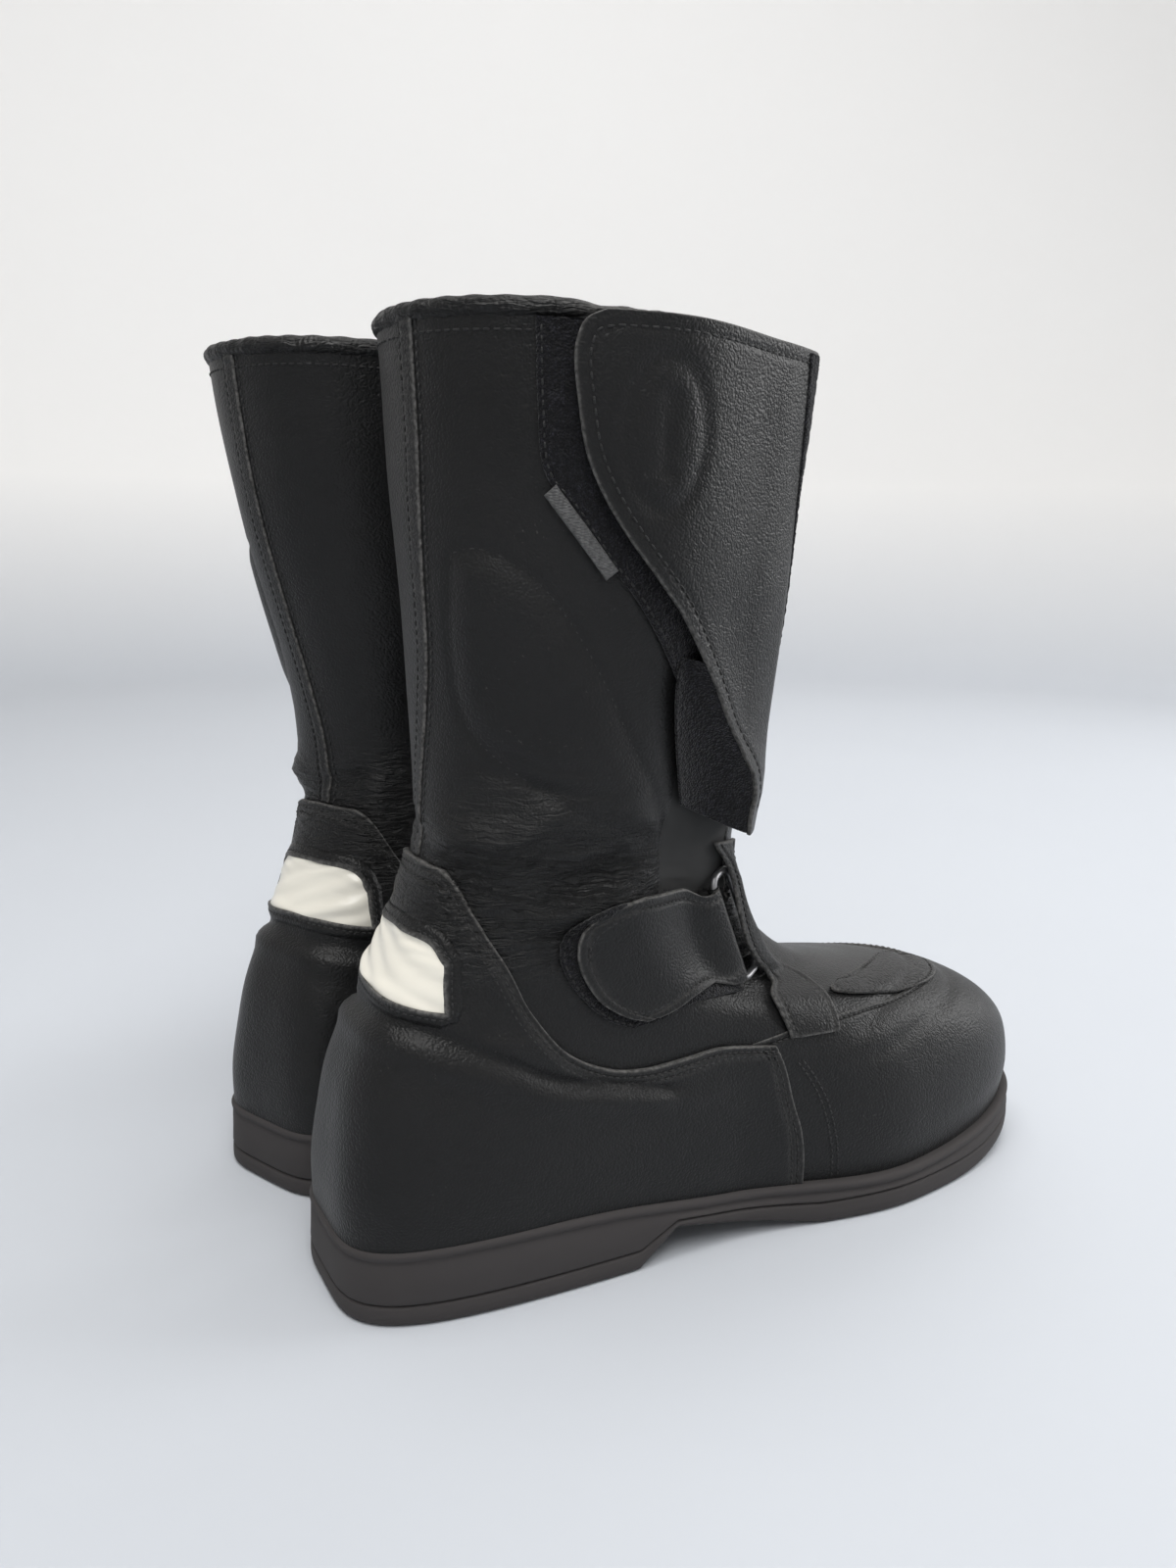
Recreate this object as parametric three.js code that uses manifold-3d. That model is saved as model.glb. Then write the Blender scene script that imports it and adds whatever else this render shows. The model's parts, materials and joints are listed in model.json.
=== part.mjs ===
// A pair of touring boots: each one a rubber sole unit, a lined leather upper, a wrap-round
// closure flap and an ankle strap that folds through a wire ring.
// Millimetres. +X runs toward the toes, +Y to the wearer's left, +Z up; the origin is at the
// bottom centre of the pair. One boot is drawn in its own frame, with x from the back of the
// sole, y to the left and z up, as a right boot; the left boot is its mirror image.
import * as THREE from 'three';
import { mergeVertices } from 'three/addons/utils/BufferGeometryUtils.js';
import Module from 'manifold-3d';

const wasm = await Module();
wasm.setup();

// ---- Driving sizes -----------------------------------------------------------------------
const UPPER_LENGTH = 295;      // back of the heel to the tip of the toe, in leather
const FOREFOOT_WIDTH = 106;    // widest part of the upper at the ball of the foot
const RIM_HEIGHT = 315;        // floor to the top of the shaft, at the back
const SEAT_HEIGHT = 24.5;      // floor to the upper's lower edge, at the heel
const LEATHER = 1.6;
const LINING_THICKNESS = 1.0;
const LAYER_GAP = 0.8;         // between a panel and what is sewn over it
const SEAM_GAP = 0.0018;       // between panels that meet edge to edge, as a share of the girth
const SOLE_GAP = 0.3;
const SOLE_EDGE = 4;           // how far the sole stands out round the upper
const HEEL_BLOCK = 100;        // length of the heel, from the back of the sole
const BREAST_SLOPE = 15;       // how far the heel's front face leans forward
const ARCH_LIFT = 12;          // clearance under the waist of the sole
const LIFT_THICKNESS = 7;      // wearing layer under the heel
const TREAD_THICKNESS = 8;     // wearing layer under the forefoot
const TOE_SPRING = 12;         // rise of the sole's tip
const SPLAY = THREE.MathUtils.degToRad(11.75);   // each boot's turn away from straight ahead
const STANCE = 74.5;           // sideways distance between the backs of the heels
const STAGGER = 14.4;          // how far the left boot stands ahead of the right one
const LEFT_SLUMP = [-20, -8];  // how far the left shaft leans back and out at its rim
const RING_LENGTH = 44;
const RING_WIDTH = 12;
const RING_WIRE = 1.3;         // radius of the ring's wire
const STRAP_THICKNESS = 1.6;
const SHANK_LENGTH = 112;
const SHANK_WIDTH = 16;
const SHANK_THICKNESS = 1.6;
const BINDING_RADIUS = 3.4;

// ---- The last: contours of the upper at its standard size --------------------------------
// Each row is one contour round the boot, from the sole's edge (v = 0) up to the rim (v = 1):
// heel x and z, toe or shin x and z, half widths at heel, waist and front, how square the
// heel end and the toe end are, and how far the contour follows the sole's curve.
const LAST = { length: 295, width: 106, height: 315, seat: 24.5 };
const CONTOURS = [
  [0.00, 5, 24.5, 299, 25, 38.5, 39, 51, 4.6, 3.0, 1.0],
  [0.08, 5, 40, 300, 39, 39.5, 40.5, 53, 4.4, 2.9, 0.8],
  [0.16, 7, 57, 295, 55, 39, 40.5, 51, 4.0, 2.8, 0.5],
  [0.24, 10, 74, 278, 68, 38, 39.5, 46, 3.6, 2.6, 0.2],
  [0.32, 16, 90, 249, 78, 37, 38.5, 38, 3.2, 2.4, 0],
  [0.40, 23, 106, 217, 84, 36, 37, 30, 2.9, 2.2, 0],
  [0.48, 30, 122, 188, 92, 36, 37, 27, 2.6, 2.1, 0],
  [0.56, 36, 140, 166, 112, 38, 38, 28, 2.4, 2.1, 0],
  [0.64, 38, 160, 158, 138, 41, 41, 32, 2.3, 2.1, 0],
  [0.72, 38, 188, 162, 170, 44, 45, 38, 2.2, 2.1, 0],
  [0.84, 35, 239, 170, 228, 49, 51.5, 45, 2.2, 2.1, 0],
  [1.00, 30, 315, 178, 309, 54, 57, 51, 2.2, 2.1, 0],
];
const SEAT_CURVE = [[0, 24.5], [50, 25], [90, 23.5], [140, 17.5], [205, 13.5], [260, 17], [310, 25.5]];
const TOE_SWING = 8;           // how far the toe bends to the inner side
const MEDIAL_HEEL = 0.10;      // the inner side's waist and forefoot are this much slimmer
const MEDIAL_FORE = 0.06;
const GRADE = {
  x: UPPER_LENGTH / LAST.length,
  y: FOREFOOT_WIDTH / LAST.width,
  z: RIM_HEIGHT / LAST.height,
  seat: SEAT_HEIGHT / LAST.seat,
};

const clamp = THREE.MathUtils.clamp;
const lerp = THREE.MathUtils.lerp;
const smooth = (q) => THREE.MathUtils.smoothstep(q, 0, 1);

// A smooth curve through rows of values, all read at the first column's value.
function rowsAt(rows, at) {
  const last = rows.length - 1;
  let i = 0;
  while (i < last - 1 && at >= rows[i + 1][0]) i += 1;
  const slope = (k, c) => {
    const low = Math.max(k - 1, 0);
    const high = Math.min(k + 1, last);
    return (rows[high][c] - rows[low][c]) / (rows[high][0] - rows[low][0]);
  };
  const h = rows[i + 1][0] - rows[i][0];
  const s = clamp((at - rows[i][0]) / h, -0.2, 1.2);
  const s2 = s * s;
  const s3 = s2 * s;
  return rows[i].map((start, c) => (2 * s3 - 3 * s2 + 1) * start
    + (s3 - 2 * s2 + s) * h * slope(i, c)
    + (3 * s2 - 2 * s3) * rows[i + 1][c] + (s3 - s2) * h * slope(i + 1, c));
}

const seatHeight = (x) => rowsAt(SEAT_CURVE, x / GRADE.x)[1] * GRADE.seat;

// The outer face of the upper. t goes round from the back centre (0) over the outer side
// (0.25), the toe or shin (0.5) and the inner side (0.75); v goes up from the sole to the rim.
function facePoint(t, v) {
  const [, heelX, heelZ, toeX, toeZ, heelW, waistW, foreW, squareHeel, squareToe, sag] = rowsAt(CONTOURS, v);
  const c = Math.cos(2 * Math.PI * t);
  const s = Math.sin(2 * Math.PI * t);
  const power = lerp(squareHeel, squareToe, (1 - c) / 2);
  const r = (Math.abs(c) ** power + Math.abs(s) ** power) ** (-1 / power);
  const along = (1 - r * c) / 2;
  const side = s >= 0 ? -1 : 1;
  const foot = clamp(1 - v / 0.4, 0, 1);
  const slim = side > 0 ? foot : 0;
  let width = lerp(heelW, waistW * (1 - MEDIAL_HEEL * slim), smooth((along - 0.14) / 0.31));
  width = lerp(width, foreW * (1 - MEDIAL_FORE * slim), smooth((along - 0.45) / 0.27));
  const x = lerp(heelX, toeX, along);
  const y = side * width * r * Math.abs(s) + TOE_SWING * foot * clamp((x - 150) / 150, 0, 1) ** 2;
  let z = lerp(heelZ, toeZ, smooth(along)) * GRADE.z;
  const seatLine = lerp(CONTOURS[0][2], CONTOURS[0][4], smooth(along)) * GRADE.z;
  z += (seatHeight(x * GRADE.x) - seatLine) * sag;
  return new THREE.Vector3(x * GRADE.x, y * GRADE.y, z);
}

// The upper's outward direction at (t, v).
function faceNormal(t, v) {
  const step = 0.003;
  const low = Math.max(v - step, 0);
  const alongT = facePoint(t + step, v).sub(facePoint(t - step, v));
  const alongV = facePoint(t, v + step).sub(facePoint(t, low));
  return alongT.cross(alongV).normalize();
}

// A point at a distance outside (or, below zero, inside) the upper's outer face.
const layerPoint = (t, v, out) => facePoint(t, v).addScaledVector(faceNormal(t, v), out);

// ---- Solids ------------------------------------------------------------------------------
// A box with each corner of its grid moved by place(a, b, c), all three from 0 to 1. A closed
// one runs back into itself along a.
function bentBox(place, along, across, through = 1, closed = false) {
  const box = new THREE.BoxGeometry(1, 1, 1, along, across, through);
  box.translate(0.5, 0.5, 0.5);
  const corners = box.attributes.position;
  for (let i = 0; i < corners.count; i += 1) {
    const p = place(corners.getX(i), corners.getY(i), corners.getZ(i));
    corners.setXYZ(i, p.x, p.y, p.z);
  }
  if (closed) box.setIndex([...box.index.array].slice(box.groups[2].start));
  box.clearGroups();
  box.deleteAttribute('normal');
  box.deleteAttribute('uv');
  return mergeVertices(box, 1e-3);
}

// A panel of the upper between two heights and two places round the girth, each of which may
// be a number or a function of the other direction, and between two distances from the face.
const valueAt = (value, at) => (typeof value === 'function' ? value(at) : value);
function panel({ t, v, out, grid }) {
  const sloped = t.some((edge) => typeof edge === 'function');
  return bentBox((a, b, c) => {
    const level = lerp(valueAt(v[0], 0), valueAt(v[1], 0), b);
    const place = lerp(valueAt(t[0], level), valueAt(t[1], level), a);
    const rise = sloped ? level : lerp(valueAt(v[0], place), valueAt(v[1], place), b);
    return layerPoint(place, rise, lerp(valueAt(out[0], a), valueAt(out[1], a), c));
  }, ...grid);
}

// An oval patch on the upper, round (t, v).
function ovalPanel({ centre, half, turn = 0, out, grid }) {
  return bentBox((a, b, c) => {
    const p = 2 * a - 1;
    const q = 2 * b - 1;
    const x = p * Math.sqrt(1 - q * q / 2) * half[0];
    const y = q * Math.sqrt(1 - p * p / 2) * half[1];
    const t = centre[0] + x * Math.cos(turn) - y * Math.sin(turn) * 0.6;
    const v = centre[1] + x * Math.sin(turn) + y * Math.cos(turn);
    return layerPoint(t, v, lerp(out[0], out[1], c));
  }, ...grid);
}

// A round rod that follows path(a), with a section direction pair at each point.
function rod(path, radius, steps, closed) {
  return bentBox((a, b, c) => {
    const { at, side, up } = path(a);
    const p = 2 * b - 1;
    const q = 2 * c - 1;
    return at.clone()
      .addScaledVector(side, radius * p * Math.sqrt(1 - q * q / 2))
      .addScaledVector(up, radius * q * Math.sqrt(1 - p * p / 2));
  }, steps, 2, 2, closed);
}

// A linear curve through [place, value] pairs.
function through(pairs) {
  return (at) => {
    const last = pairs.length - 1;
    let i = 0;
    while (i < last - 1 && at > pairs[i + 1][0]) i += 1;
    const s = clamp((at - pairs[i][0]) / (pairs[i + 1][0] - pairs[i][0]), 0, 1);
    return lerp(pairs[i][1], pairs[i + 1][1], s);
  };
}

const subtract = (body, tool) => {
  const solid = (geometry) => new wasm.Manifold(new wasm.Mesh({
    numProp: 3,
    vertProperties: new Float32Array(geometry.attributes.position.array),
    triVerts: new Uint32Array(geometry.index.array),
  }));
  const mesh = solid(body).subtract(solid(tool)).getMesh();
  const result = new THREE.BufferGeometry();
  result.setAttribute('position', new THREE.BufferAttribute(mesh.vertProperties, 3));
  result.setIndex(new THREE.BufferAttribute(mesh.triVerts, 1));
  return result;
};

// ---- Sole unit ---------------------------------------------------------------------------
const SOLE_STEPS = 18;
const SOLE_ENDS = 0.035;       // where the first station lies, as a share of half the girth

// A point of the sole's outline, set out from the upper's lower edge in plan.
function solePoint(t, outset) {
  const step = 0.002;
  const p = facePoint(t, 0);
  const run = facePoint(t + step, 0).sub(facePoint(t - step, 0)).setZ(0).normalize();
  return new THREE.Vector3(p.x + run.y * outset, p.y - run.x * outset, 0);
}

// The station, from 0 at the heel to 1 at the toe, where the sole's outline passes x.
function stationAt(x) {
  let low = 0;
  let high = 1;
  while (high - low > 1e-4) {
    const mid = (low + high) / 2;
    if (solePoint(mid / 2, SOLE_EDGE).x < x) low = mid;
    else high = mid;
  }
  return (low + high) / 2;
}

const breastFoot = HEEL_BLOCK;
const breastTop = HEEL_BLOCK + BREAST_SLOPE;
const soleStations = () => {
  const marks = [breastFoot - 2, breastFoot, breastTop, breastTop + 3].map(stationAt);
  for (let i = 0; i <= SOLE_STEPS; i += 1) marks.push(lerp(SOLE_ENDS, 1 - SOLE_ENDS, i / SOLE_STEPS));
  return marks.sort((p, q) => p - q).filter((m, i, all) => i === 0 || m - all[i - 1] > 0.004);
};

// A layer of the sole unit between two height functions of x.
function soleLayer(outset, bottom, top) {
  const stations = soleStations();
  const steps = stations.length - 1;
  return bentBox((a, b, c) => {
    const station = stations[Math.round(a * steps)];
    const p = solePoint(station / 2, outset).lerp(solePoint(1 - station / 2, outset), b);
    return p.setZ(lerp(bottom(p.x), top(p.x), c));
  }, steps, 2);
}

const toeRise = (x) => TOE_SPRING * clamp((x - UPPER_LENGTH * 0.81) / (UPPER_LENGTH * 0.22), 0, 1) ** 2;
const breast = (x) => clamp((x - breastFoot) / BREAST_SLOPE, 0, 1);
const waist = (x) => ARCH_LIFT * clamp(1 - (x - breastTop) / 60, 0, 1);
const groundLine = (x) => breast(x) * waist(x) + toeRise(x);
const grooveLine = (x) => lerp(LIFT_THICKNESS, TREAD_THICKNESS + waist(x) * 0.55, breast(x)) + toeRise(x) * 0.8;

const outsole = () => soleLayer(SOLE_EDGE - 0.5, groundLine, (x) => grooveLine(x) - SOLE_GAP / 2);
const shankBed = (x) => seatHeight(x) - SHANK_THICKNESS - 2 * SOLE_GAP;
const midsole = () => {
  const block = soleLayer(SOLE_EDGE, (x) => grooveLine(x) + SOLE_GAP / 2, (x) => seatHeight(x) - SOLE_GAP);
  const slot = shankSlab(SOLE_GAP, (x) => shankBed(x) - SOLE_GAP, (x) => seatHeight(x) + 2);
  return subtract(block, slot);
};

// The steel shank lies in the waist, and its slot is the same shape with clearance.
function shankSlab(clearance, bottom, top) {
  const start = HEEL_BLOCK * 0.62 - clearance;
  const end = start + SHANK_LENGTH + 2 * clearance;
  return bentBox((a, b, c) => {
    const x = lerp(start, end, a);
    const y = lerp(-0.5, 0.5, b) * (SHANK_WIDTH + 2 * clearance);
    return new THREE.Vector3(x, y, lerp(bottom(x), top(x), c));
  }, 8, 1);
}
const shank = () => shankSlab(0, shankBed, (x) => shankBed(x) + SHANK_THICKNESS);

const BOARD_THICKNESS = 2.2;
const FOOTBED_THICKNESS = 4;
const BOARD_INSET = 3;
const FOOTBED_INSET = 8;
const boardBottom = (x) => seatHeight(x) + SOLE_GAP;
const boardTop = (x) => boardBottom(x) + BOARD_THICKNESS;
const insoleBoard = () => soleLayer(-BOARD_INSET, boardBottom, boardTop);
const footbed = () => soleLayer(
  -FOOTBED_INSET,
  (x) => boardTop(x) + SOLE_GAP,
  (x) => boardTop(x) + SOLE_GAP + FOOTBED_THICKNESS,
);

// ---- Layers of the upper, as distances outside the outer face ----------------------------
const LEATHER_LAYER = [-LEATHER, 0];
const FILLER_GAP = 0.5;
const LINING_GAP = 1.3;
const FILLER = 0.8;
const FILLER_LAYER = [-LEATHER - FILLER_GAP - FILLER, -LEATHER - FILLER_GAP];
const LINING_OUT = FILLER_LAYER[0] - LINING_GAP;
const LINING_LAYER = [LINING_OUT - LINING_THICKNESS, LINING_OUT];
const OVERLAY = [LAYER_GAP, LAYER_GAP + 1.4];
const LOOP_LIFT = LAYER_GAP + 0.35;
const TRIM = [OVERLAY[1] + LAYER_GAP, OVERLAY[1] + LAYER_GAP + 1];
const HOOK_LAYER = [OVERLAY[1] + LAYER_GAP + 0.3, OVERLAY[1] + LAYER_GAP + 1.2];
const FLAP_LAYER = [HOOK_LAYER[1] + LAYER_GAP + 0.1, HOOK_LAYER[1] + LAYER_GAP + 0.1 + LEATHER];

// ---- Lines that divide the upper ----------------------------------------------------------
const V_SOLE = 0.005;          // lower edge of the leather
const V_LINING = 0.02;         // lower edge of the lining and stiffeners
const V_TOP = 1 - (2 * BINDING_RADIUS + 0.6) * 0.0021;   // upper edge, just under the binding
const V_COUNTER = 0.22;        // where the shaft's leather starts, behind the quarter
const V_VAMP = 0.295;          // toe cover to instep
const V_ANKLE = 0.597;         // instep to shaft front
const T_SIDE = 0.273;          // shaft side to vamp, instep and gusset
const T_GUSSET = 0.385;        // gusset to shin panel
const T_ROOT = 0.40;           // seam that holds the closure flap
const V_CLOSURE = 0.676;       // lower edge of the closure flap, whose layers share rows
const CLOSURE_ROWS = 10;

// ---- Pieces of the upper ------------------------------------------------------------------
const FRONT_T = [T_SIDE + SEAM_GAP, 1 - T_SIDE - SEAM_GAP];
const VAMP = { t: FRONT_T, v: [V_SOLE, V_VAMP - SEAM_GAP], out: LEATHER_LAYER, grid: [16, 6] };
const INSTEP = { t: FRONT_T, v: [V_VAMP + SEAM_GAP, V_ANKLE - SEAM_GAP], out: LEATHER_LAYER, grid: [12, 7] };
const SIDE = { t: [SEAM_GAP, T_SIDE - SEAM_GAP], v: [V_COUNTER, V_TOP], out: LEATHER_LAYER, grid: [9, 12] };
const INNER_SIDE = { ...SIDE, t: [1 - T_SIDE + SEAM_GAP, 1 - SEAM_GAP] };
const SHIN = { t: [T_GUSSET + SEAM_GAP, 1 - T_SIDE - SEAM_GAP], v: [V_ANKLE + SEAM_GAP, V_TOP],
  out: LEATHER_LAYER, grid: [10, 7] };
const GUSSET = { t: [T_SIDE + SEAM_GAP, T_GUSSET - SEAM_GAP], v: SHIN.v, out: [-1.3, -0.3], grid: [3, 7] };
const LINING = { t: [0, 1], v: [V_LINING, V_TOP], out: LINING_LAYER, grid: [22, 12, 1, true] };

// A filler behind part of a panel: some of its columns and rows, on the same grid lines.
function behind(face, columns, rows) {
  const line = (range, k, steps) => lerp(range[0], range[1], k / steps);
  return {
    t: columns.map((k) => line(face.t, k, face.grid[0])),
    v: rows.map((k) => line(face.v, k, face.grid[1])),
    out: FILLER_LAYER,
    grid: [columns[1] - columns[0], rows[1] - rows[0]],
  };
}
const lining = () => panel(LINING);
const vamp = () => panel(VAMP);
const instepPanel = () => panel(INSTEP);
const shaftLateral = () => panel(SIDE);
const shaftMedial = () => panel(INNER_SIDE);
const frontPanel = () => panel(SHIN);
const gusset = () => panel(GUSSET);
const toeStiffener = () => panel(behind(VAMP, [4, 12], [1, 5]));
const shinPad = () => panel(behind(SHIN, [1, 6], [1, 6]));
const shaftPad = () => panel(behind(SIDE, [2, 8], [7, 10]));

// The quarter wraps the heel; its upper edge dips along each side.
const QUARTER_FRONT = 0.269;
const quarterTop = (t) => through([[0, 0.585], [0.072, 0.575], [0.103, 0.537], [0.14, 0.46], [0.158, 0.37],
  [0.172, 0.295], [0.187, 0.252], [0.222, 0.258], [QUARTER_FRONT, 0.255]])(Math.abs(t));
const quarter = () => panel({ t: [-QUARTER_FRONT, QUARTER_FRONT], v: [() => V_SOLE, quarterTop],
  out: [LOOP_LIFT, OVERLAY[1]], grid: [22, 5] });
const heelStiffener = () => panel({ t: [-0.2, 0.2], v: [V_LINING, V_COUNTER - 0.008],
  out: [FILLER_LAYER[0], -FILLER_GAP], grid: [14, 3] });
const backStrip = () => panel({ t: [-0.014, 0.026], v: [0.6, V_TOP], out: OVERLAY, grid: [2, 8] });

// Reflector and oval badge on the heel.
const reflectorLow = (t) => 0.388 - Math.abs(t) * 0.12;
const reflectorTop = (t) => 0.488 - Math.max(Math.abs(t) - 0.06, 0) * 1.0;
const reflector = () => panel({ t: [-0.108, 0.108], v: [reflectorLow, reflectorTop], out: TRIM, grid: [10, 2] });
const heelBadge = () => ovalPanel({ centre: [0, 0.2], half: [0.055, 0.06], out: TRIM, grid: [4, 4] });
const shiftPad = () => ovalPanel({ centre: [0.415, 0.342], half: [0.078, 0.042], turn: -0.28,
  out: OVERLAY, grid: [6, 4] });

// The roll of binding round the rim.
const V_BINDING = 1 - BINDING_RADIUS * 0.0021;
const BINDING_IN = -(LEATHER + FILLER_GAP);
const collarBinding = () => rod((a) => ({
  at: layerPoint(a, V_BINDING, BINDING_IN),
  side: faceNormal(a, V_BINDING).setZ(0).normalize().negate(),
  up: new THREE.Vector3(0, 0, 1),
}), BINDING_RADIUS, 22, true);

// ---- Closure flap -------------------------------------------------------------------------
const flapEdge = through([[0.69, 0.37], [0.718, 0.36], [0.76, 0.318], [0.805, 0.275], [0.84, 0.243],
  [0.873, 0.207], [0.907, 0.183], [0.943, 0.173], [0.973, 0.173], [0.982, 0.18]]);
const flapRise = (a) => lerp(0, FLAP_LAYER[0] - OVERLAY[0], smooth((1 - a) / 0.16));
const closureRow = (k) => lerp(V_CLOSURE, V_TOP, k / CLOSURE_ROWS);
const closureFlap = () => panel({ t: [flapEdge, T_ROOT], v: [V_CLOSURE, V_TOP],
  out: [(a) => OVERLAY[0] + flapRise(a), (a) => OVERLAY[0] + flapRise(a) + LEATHER], grid: [10, CLOSURE_ROWS] });
const hookEdge = (v) => flapEdge(v) + 0.012;
const hookRoot = (v) => Math.max(Math.min(flapEdge(v) + 0.12, T_ROOT - 0.045), hookEdge(v) + 0.01);
const flapHookPanel = () => panel({ t: [hookEdge, hookRoot], v: [closureRow(2), closureRow(9)],
  out: HOOK_LAYER, grid: [7, 7] });
const loopEdge = through([[0.708, 0.312], [0.745, 0.293], [0.787, 0.255], [0.828, 0.22], [0.88, 0.172],
  [0.9, 0.152], [0.99, 0.147]]);
const loopFront = (v) => Math.min(hookRoot(v) + 0.004, T_ROOT - 0.045);
const loopStrip = () => panel({ t: [loopEdge, loopFront], v: [closureRow(1), V_TOP],
  out: [LOOP_LIFT, OVERLAY[1]], grid: [10, 9] });
const labelEdge = (v) => loopEdge(v) - 0.011;
const sideLabel = () => panel({ t: [labelEdge, (v) => loopEdge(v) - 0.002], v: [0.845, 0.888],
  out: [LAYER_GAP, LAYER_GAP + 0.6], grid: [1, 3] });

// The flap turns about a straight line along its seam, just proud of its outer face.
const HINGE_PROUD = 1.4;
const flapHinge = [V_CLOSURE, V_TOP].map((v) => layerPoint(T_ROOT, v, OVERLAY[0] + LEATHER + HINGE_PROUD));

// ---- Ankle strap, ring and keeper ---------------------------------------------------------
// The ring's own directions: up along its two long bars, across from the rear one to the
// front one, and out from the boot. The strap folds round the rear bar.
const RING_PLACE = [[0.308, 0.435], [0.348, 0.605]];
const ringLift = LAYER_GAP + RING_WIRE + 0.7;
const ringFrame = (() => {
  const [low, high] = RING_PLACE.map(([t, v]) => layerPoint(t, v, ringLift));
  const up = high.clone().sub(low).normalize();
  const outLow = faceNormal(...RING_PLACE[0]);
  const out = outLow.add(faceNormal(...RING_PLACE[1])).normalize();
  const across = up.clone().cross(out).normalize().negate();
  out.copy(across).cross(up).normalize().negate();
  if (across.x < 0) across.negate();
  if (out.y > 0) out.negate();
  return { middle: low.add(high).multiplyScalar(0.5), up, across, out };
})();
const ringPoint = (rise, forward, proud = 0) => ringFrame.middle.clone()
  .addScaledVector(ringFrame.up, rise)
  .addScaledVector(ringFrame.across, forward)
  .addScaledVector(ringFrame.out, proud);

const strapRing = () => {
  const rise = RING_LENGTH / 2 - RING_WIRE;
  const corner = RING_WIDTH / 2;
  const straight = rise - corner;
  return rod((a) => {
    const turn = 2 * Math.PI * a;
    const forward = corner * (1 - Math.cos(turn));
    const end = Math.sin(turn) * corner + Math.sign(Math.sin(turn) + 1e-9) * straight;
    const side = ringFrame.up.clone().multiplyScalar(Math.sin(turn))
      .addScaledVector(ringFrame.across, -Math.cos(turn));
    return { at: ringPoint(end, forward), side, up: ringFrame.out };
  }, RING_WIRE, 12, true);
};

// The strap: its front edge lies over the ring's rear bar, and its round end on the pad.
const strapTip = [0.193, 0.455];
const strapLow = through([[0, 0.437], [0.35, 0.372], [0.7, 0.318], [0.88, 0.335], [1, 0.43]]);
const strapHigh = through([[0, 0.600], [0.4, 0.590], [0.8, 0.552], [0.94, 0.52], [1, 0.475]]);
const strapFront = (b) => lerp(RING_PLACE[0][0], RING_PLACE[1][0], b);
const strapHalf = RING_LENGTH / 2 - 2 * RING_WIRE - 1;
const STRAP_OUT = OVERLAY[1] + LAYER_GAP - 0.2;
function strapPoint(a, b, out) {
  const t = lerp(strapFront(b), strapTip[0] + 0.012 * (2 * b - 1) ** 2, a);
  const v = lerp(strapLow(a), strapHigh(a), b);
  const onBoot = layerPoint(t, v, STRAP_OUT + out);
  const onBar = ringPoint(lerp(-strapHalf, strapHalf, b), -a * 55 - RING_WIRE, RING_WIRE + 0.7 + out);
  return onBar.lerp(onBoot, smooth(a / 0.3));
}
const ankleStrap = () => bentBox((a, b, c) => strapPoint(a, 1 - b, lerp(0, STRAP_THICKNESS, c)), 9, 5);
const strapPad = () => bentBox((a, b, c) => {
  const t = lerp(0.295 + 0.02 * (1 - b), 0.18 + 0.015 * (2 * b - 1) ** 2, a);
  const v = lerp(lerp(0.40, 0.335, a), lerp(0.55, 0.5, a), 1 - b);
  return layerPoint(t, v, lerp(...OVERLAY, c) - 0.2);
}, 5, 3);

// The keeper: a leather band that holds the ring's front bar against the instep.
const keeperRear = through([[0, 0.276], [0.27, 0.3], [0.42, 0.331], [0.65, 0.352], [0.9, 0.374], [1, 0.35]]);
const keeperFront = through([[0, 0.289], [0.22, 0.312], [0.53, 0.383], [0.7, 0.402], [1, 0.398]]);
const KEEPER_V = [0.265, 0.655];
const KEEPER_CLEAR = RING_WIRE + 1.4;
// How far outside the upper's face a layer lies to pass the same height over the ring.
const overRing = (t, v) => {
  const n = faceNormal(t, v);
  const below = facePoint(t, v).sub(ringFrame.middle).dot(ringFrame.out);
  return (KEEPER_CLEAR - below) / n.dot(ringFrame.out);
};
const keeper = () => bentBox((a, b, c) => {
  const v = lerp(...KEEPER_V, b);
  const t = lerp(keeperRear(b), keeperFront(b), a);
  const reach = smooth((b - 0.1) / 0.14) * (1 - smooth((a - 0.5) / 0.5));
  const lift = Math.max(overRing(t, v) - OVERLAY[0], 0) * reach;
  return layerPoint(t, v, lerp(OVERLAY[0], OVERLAY[1], c) + lift);
}, 5, 13);

// ---- Materials ----------------------------------------------------------------------------
const finish = (color, roughness, metalness = 0) => new THREE.MeshStandardMaterial({ color, roughness, metalness });
const LEATHERS = () => finish(0x1c1c1d, 0.55);
const RUBBER = () => finish(0x2b2927, 0.85);
const FABRIC = () => finish(0x17171a, 0.95);

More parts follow.
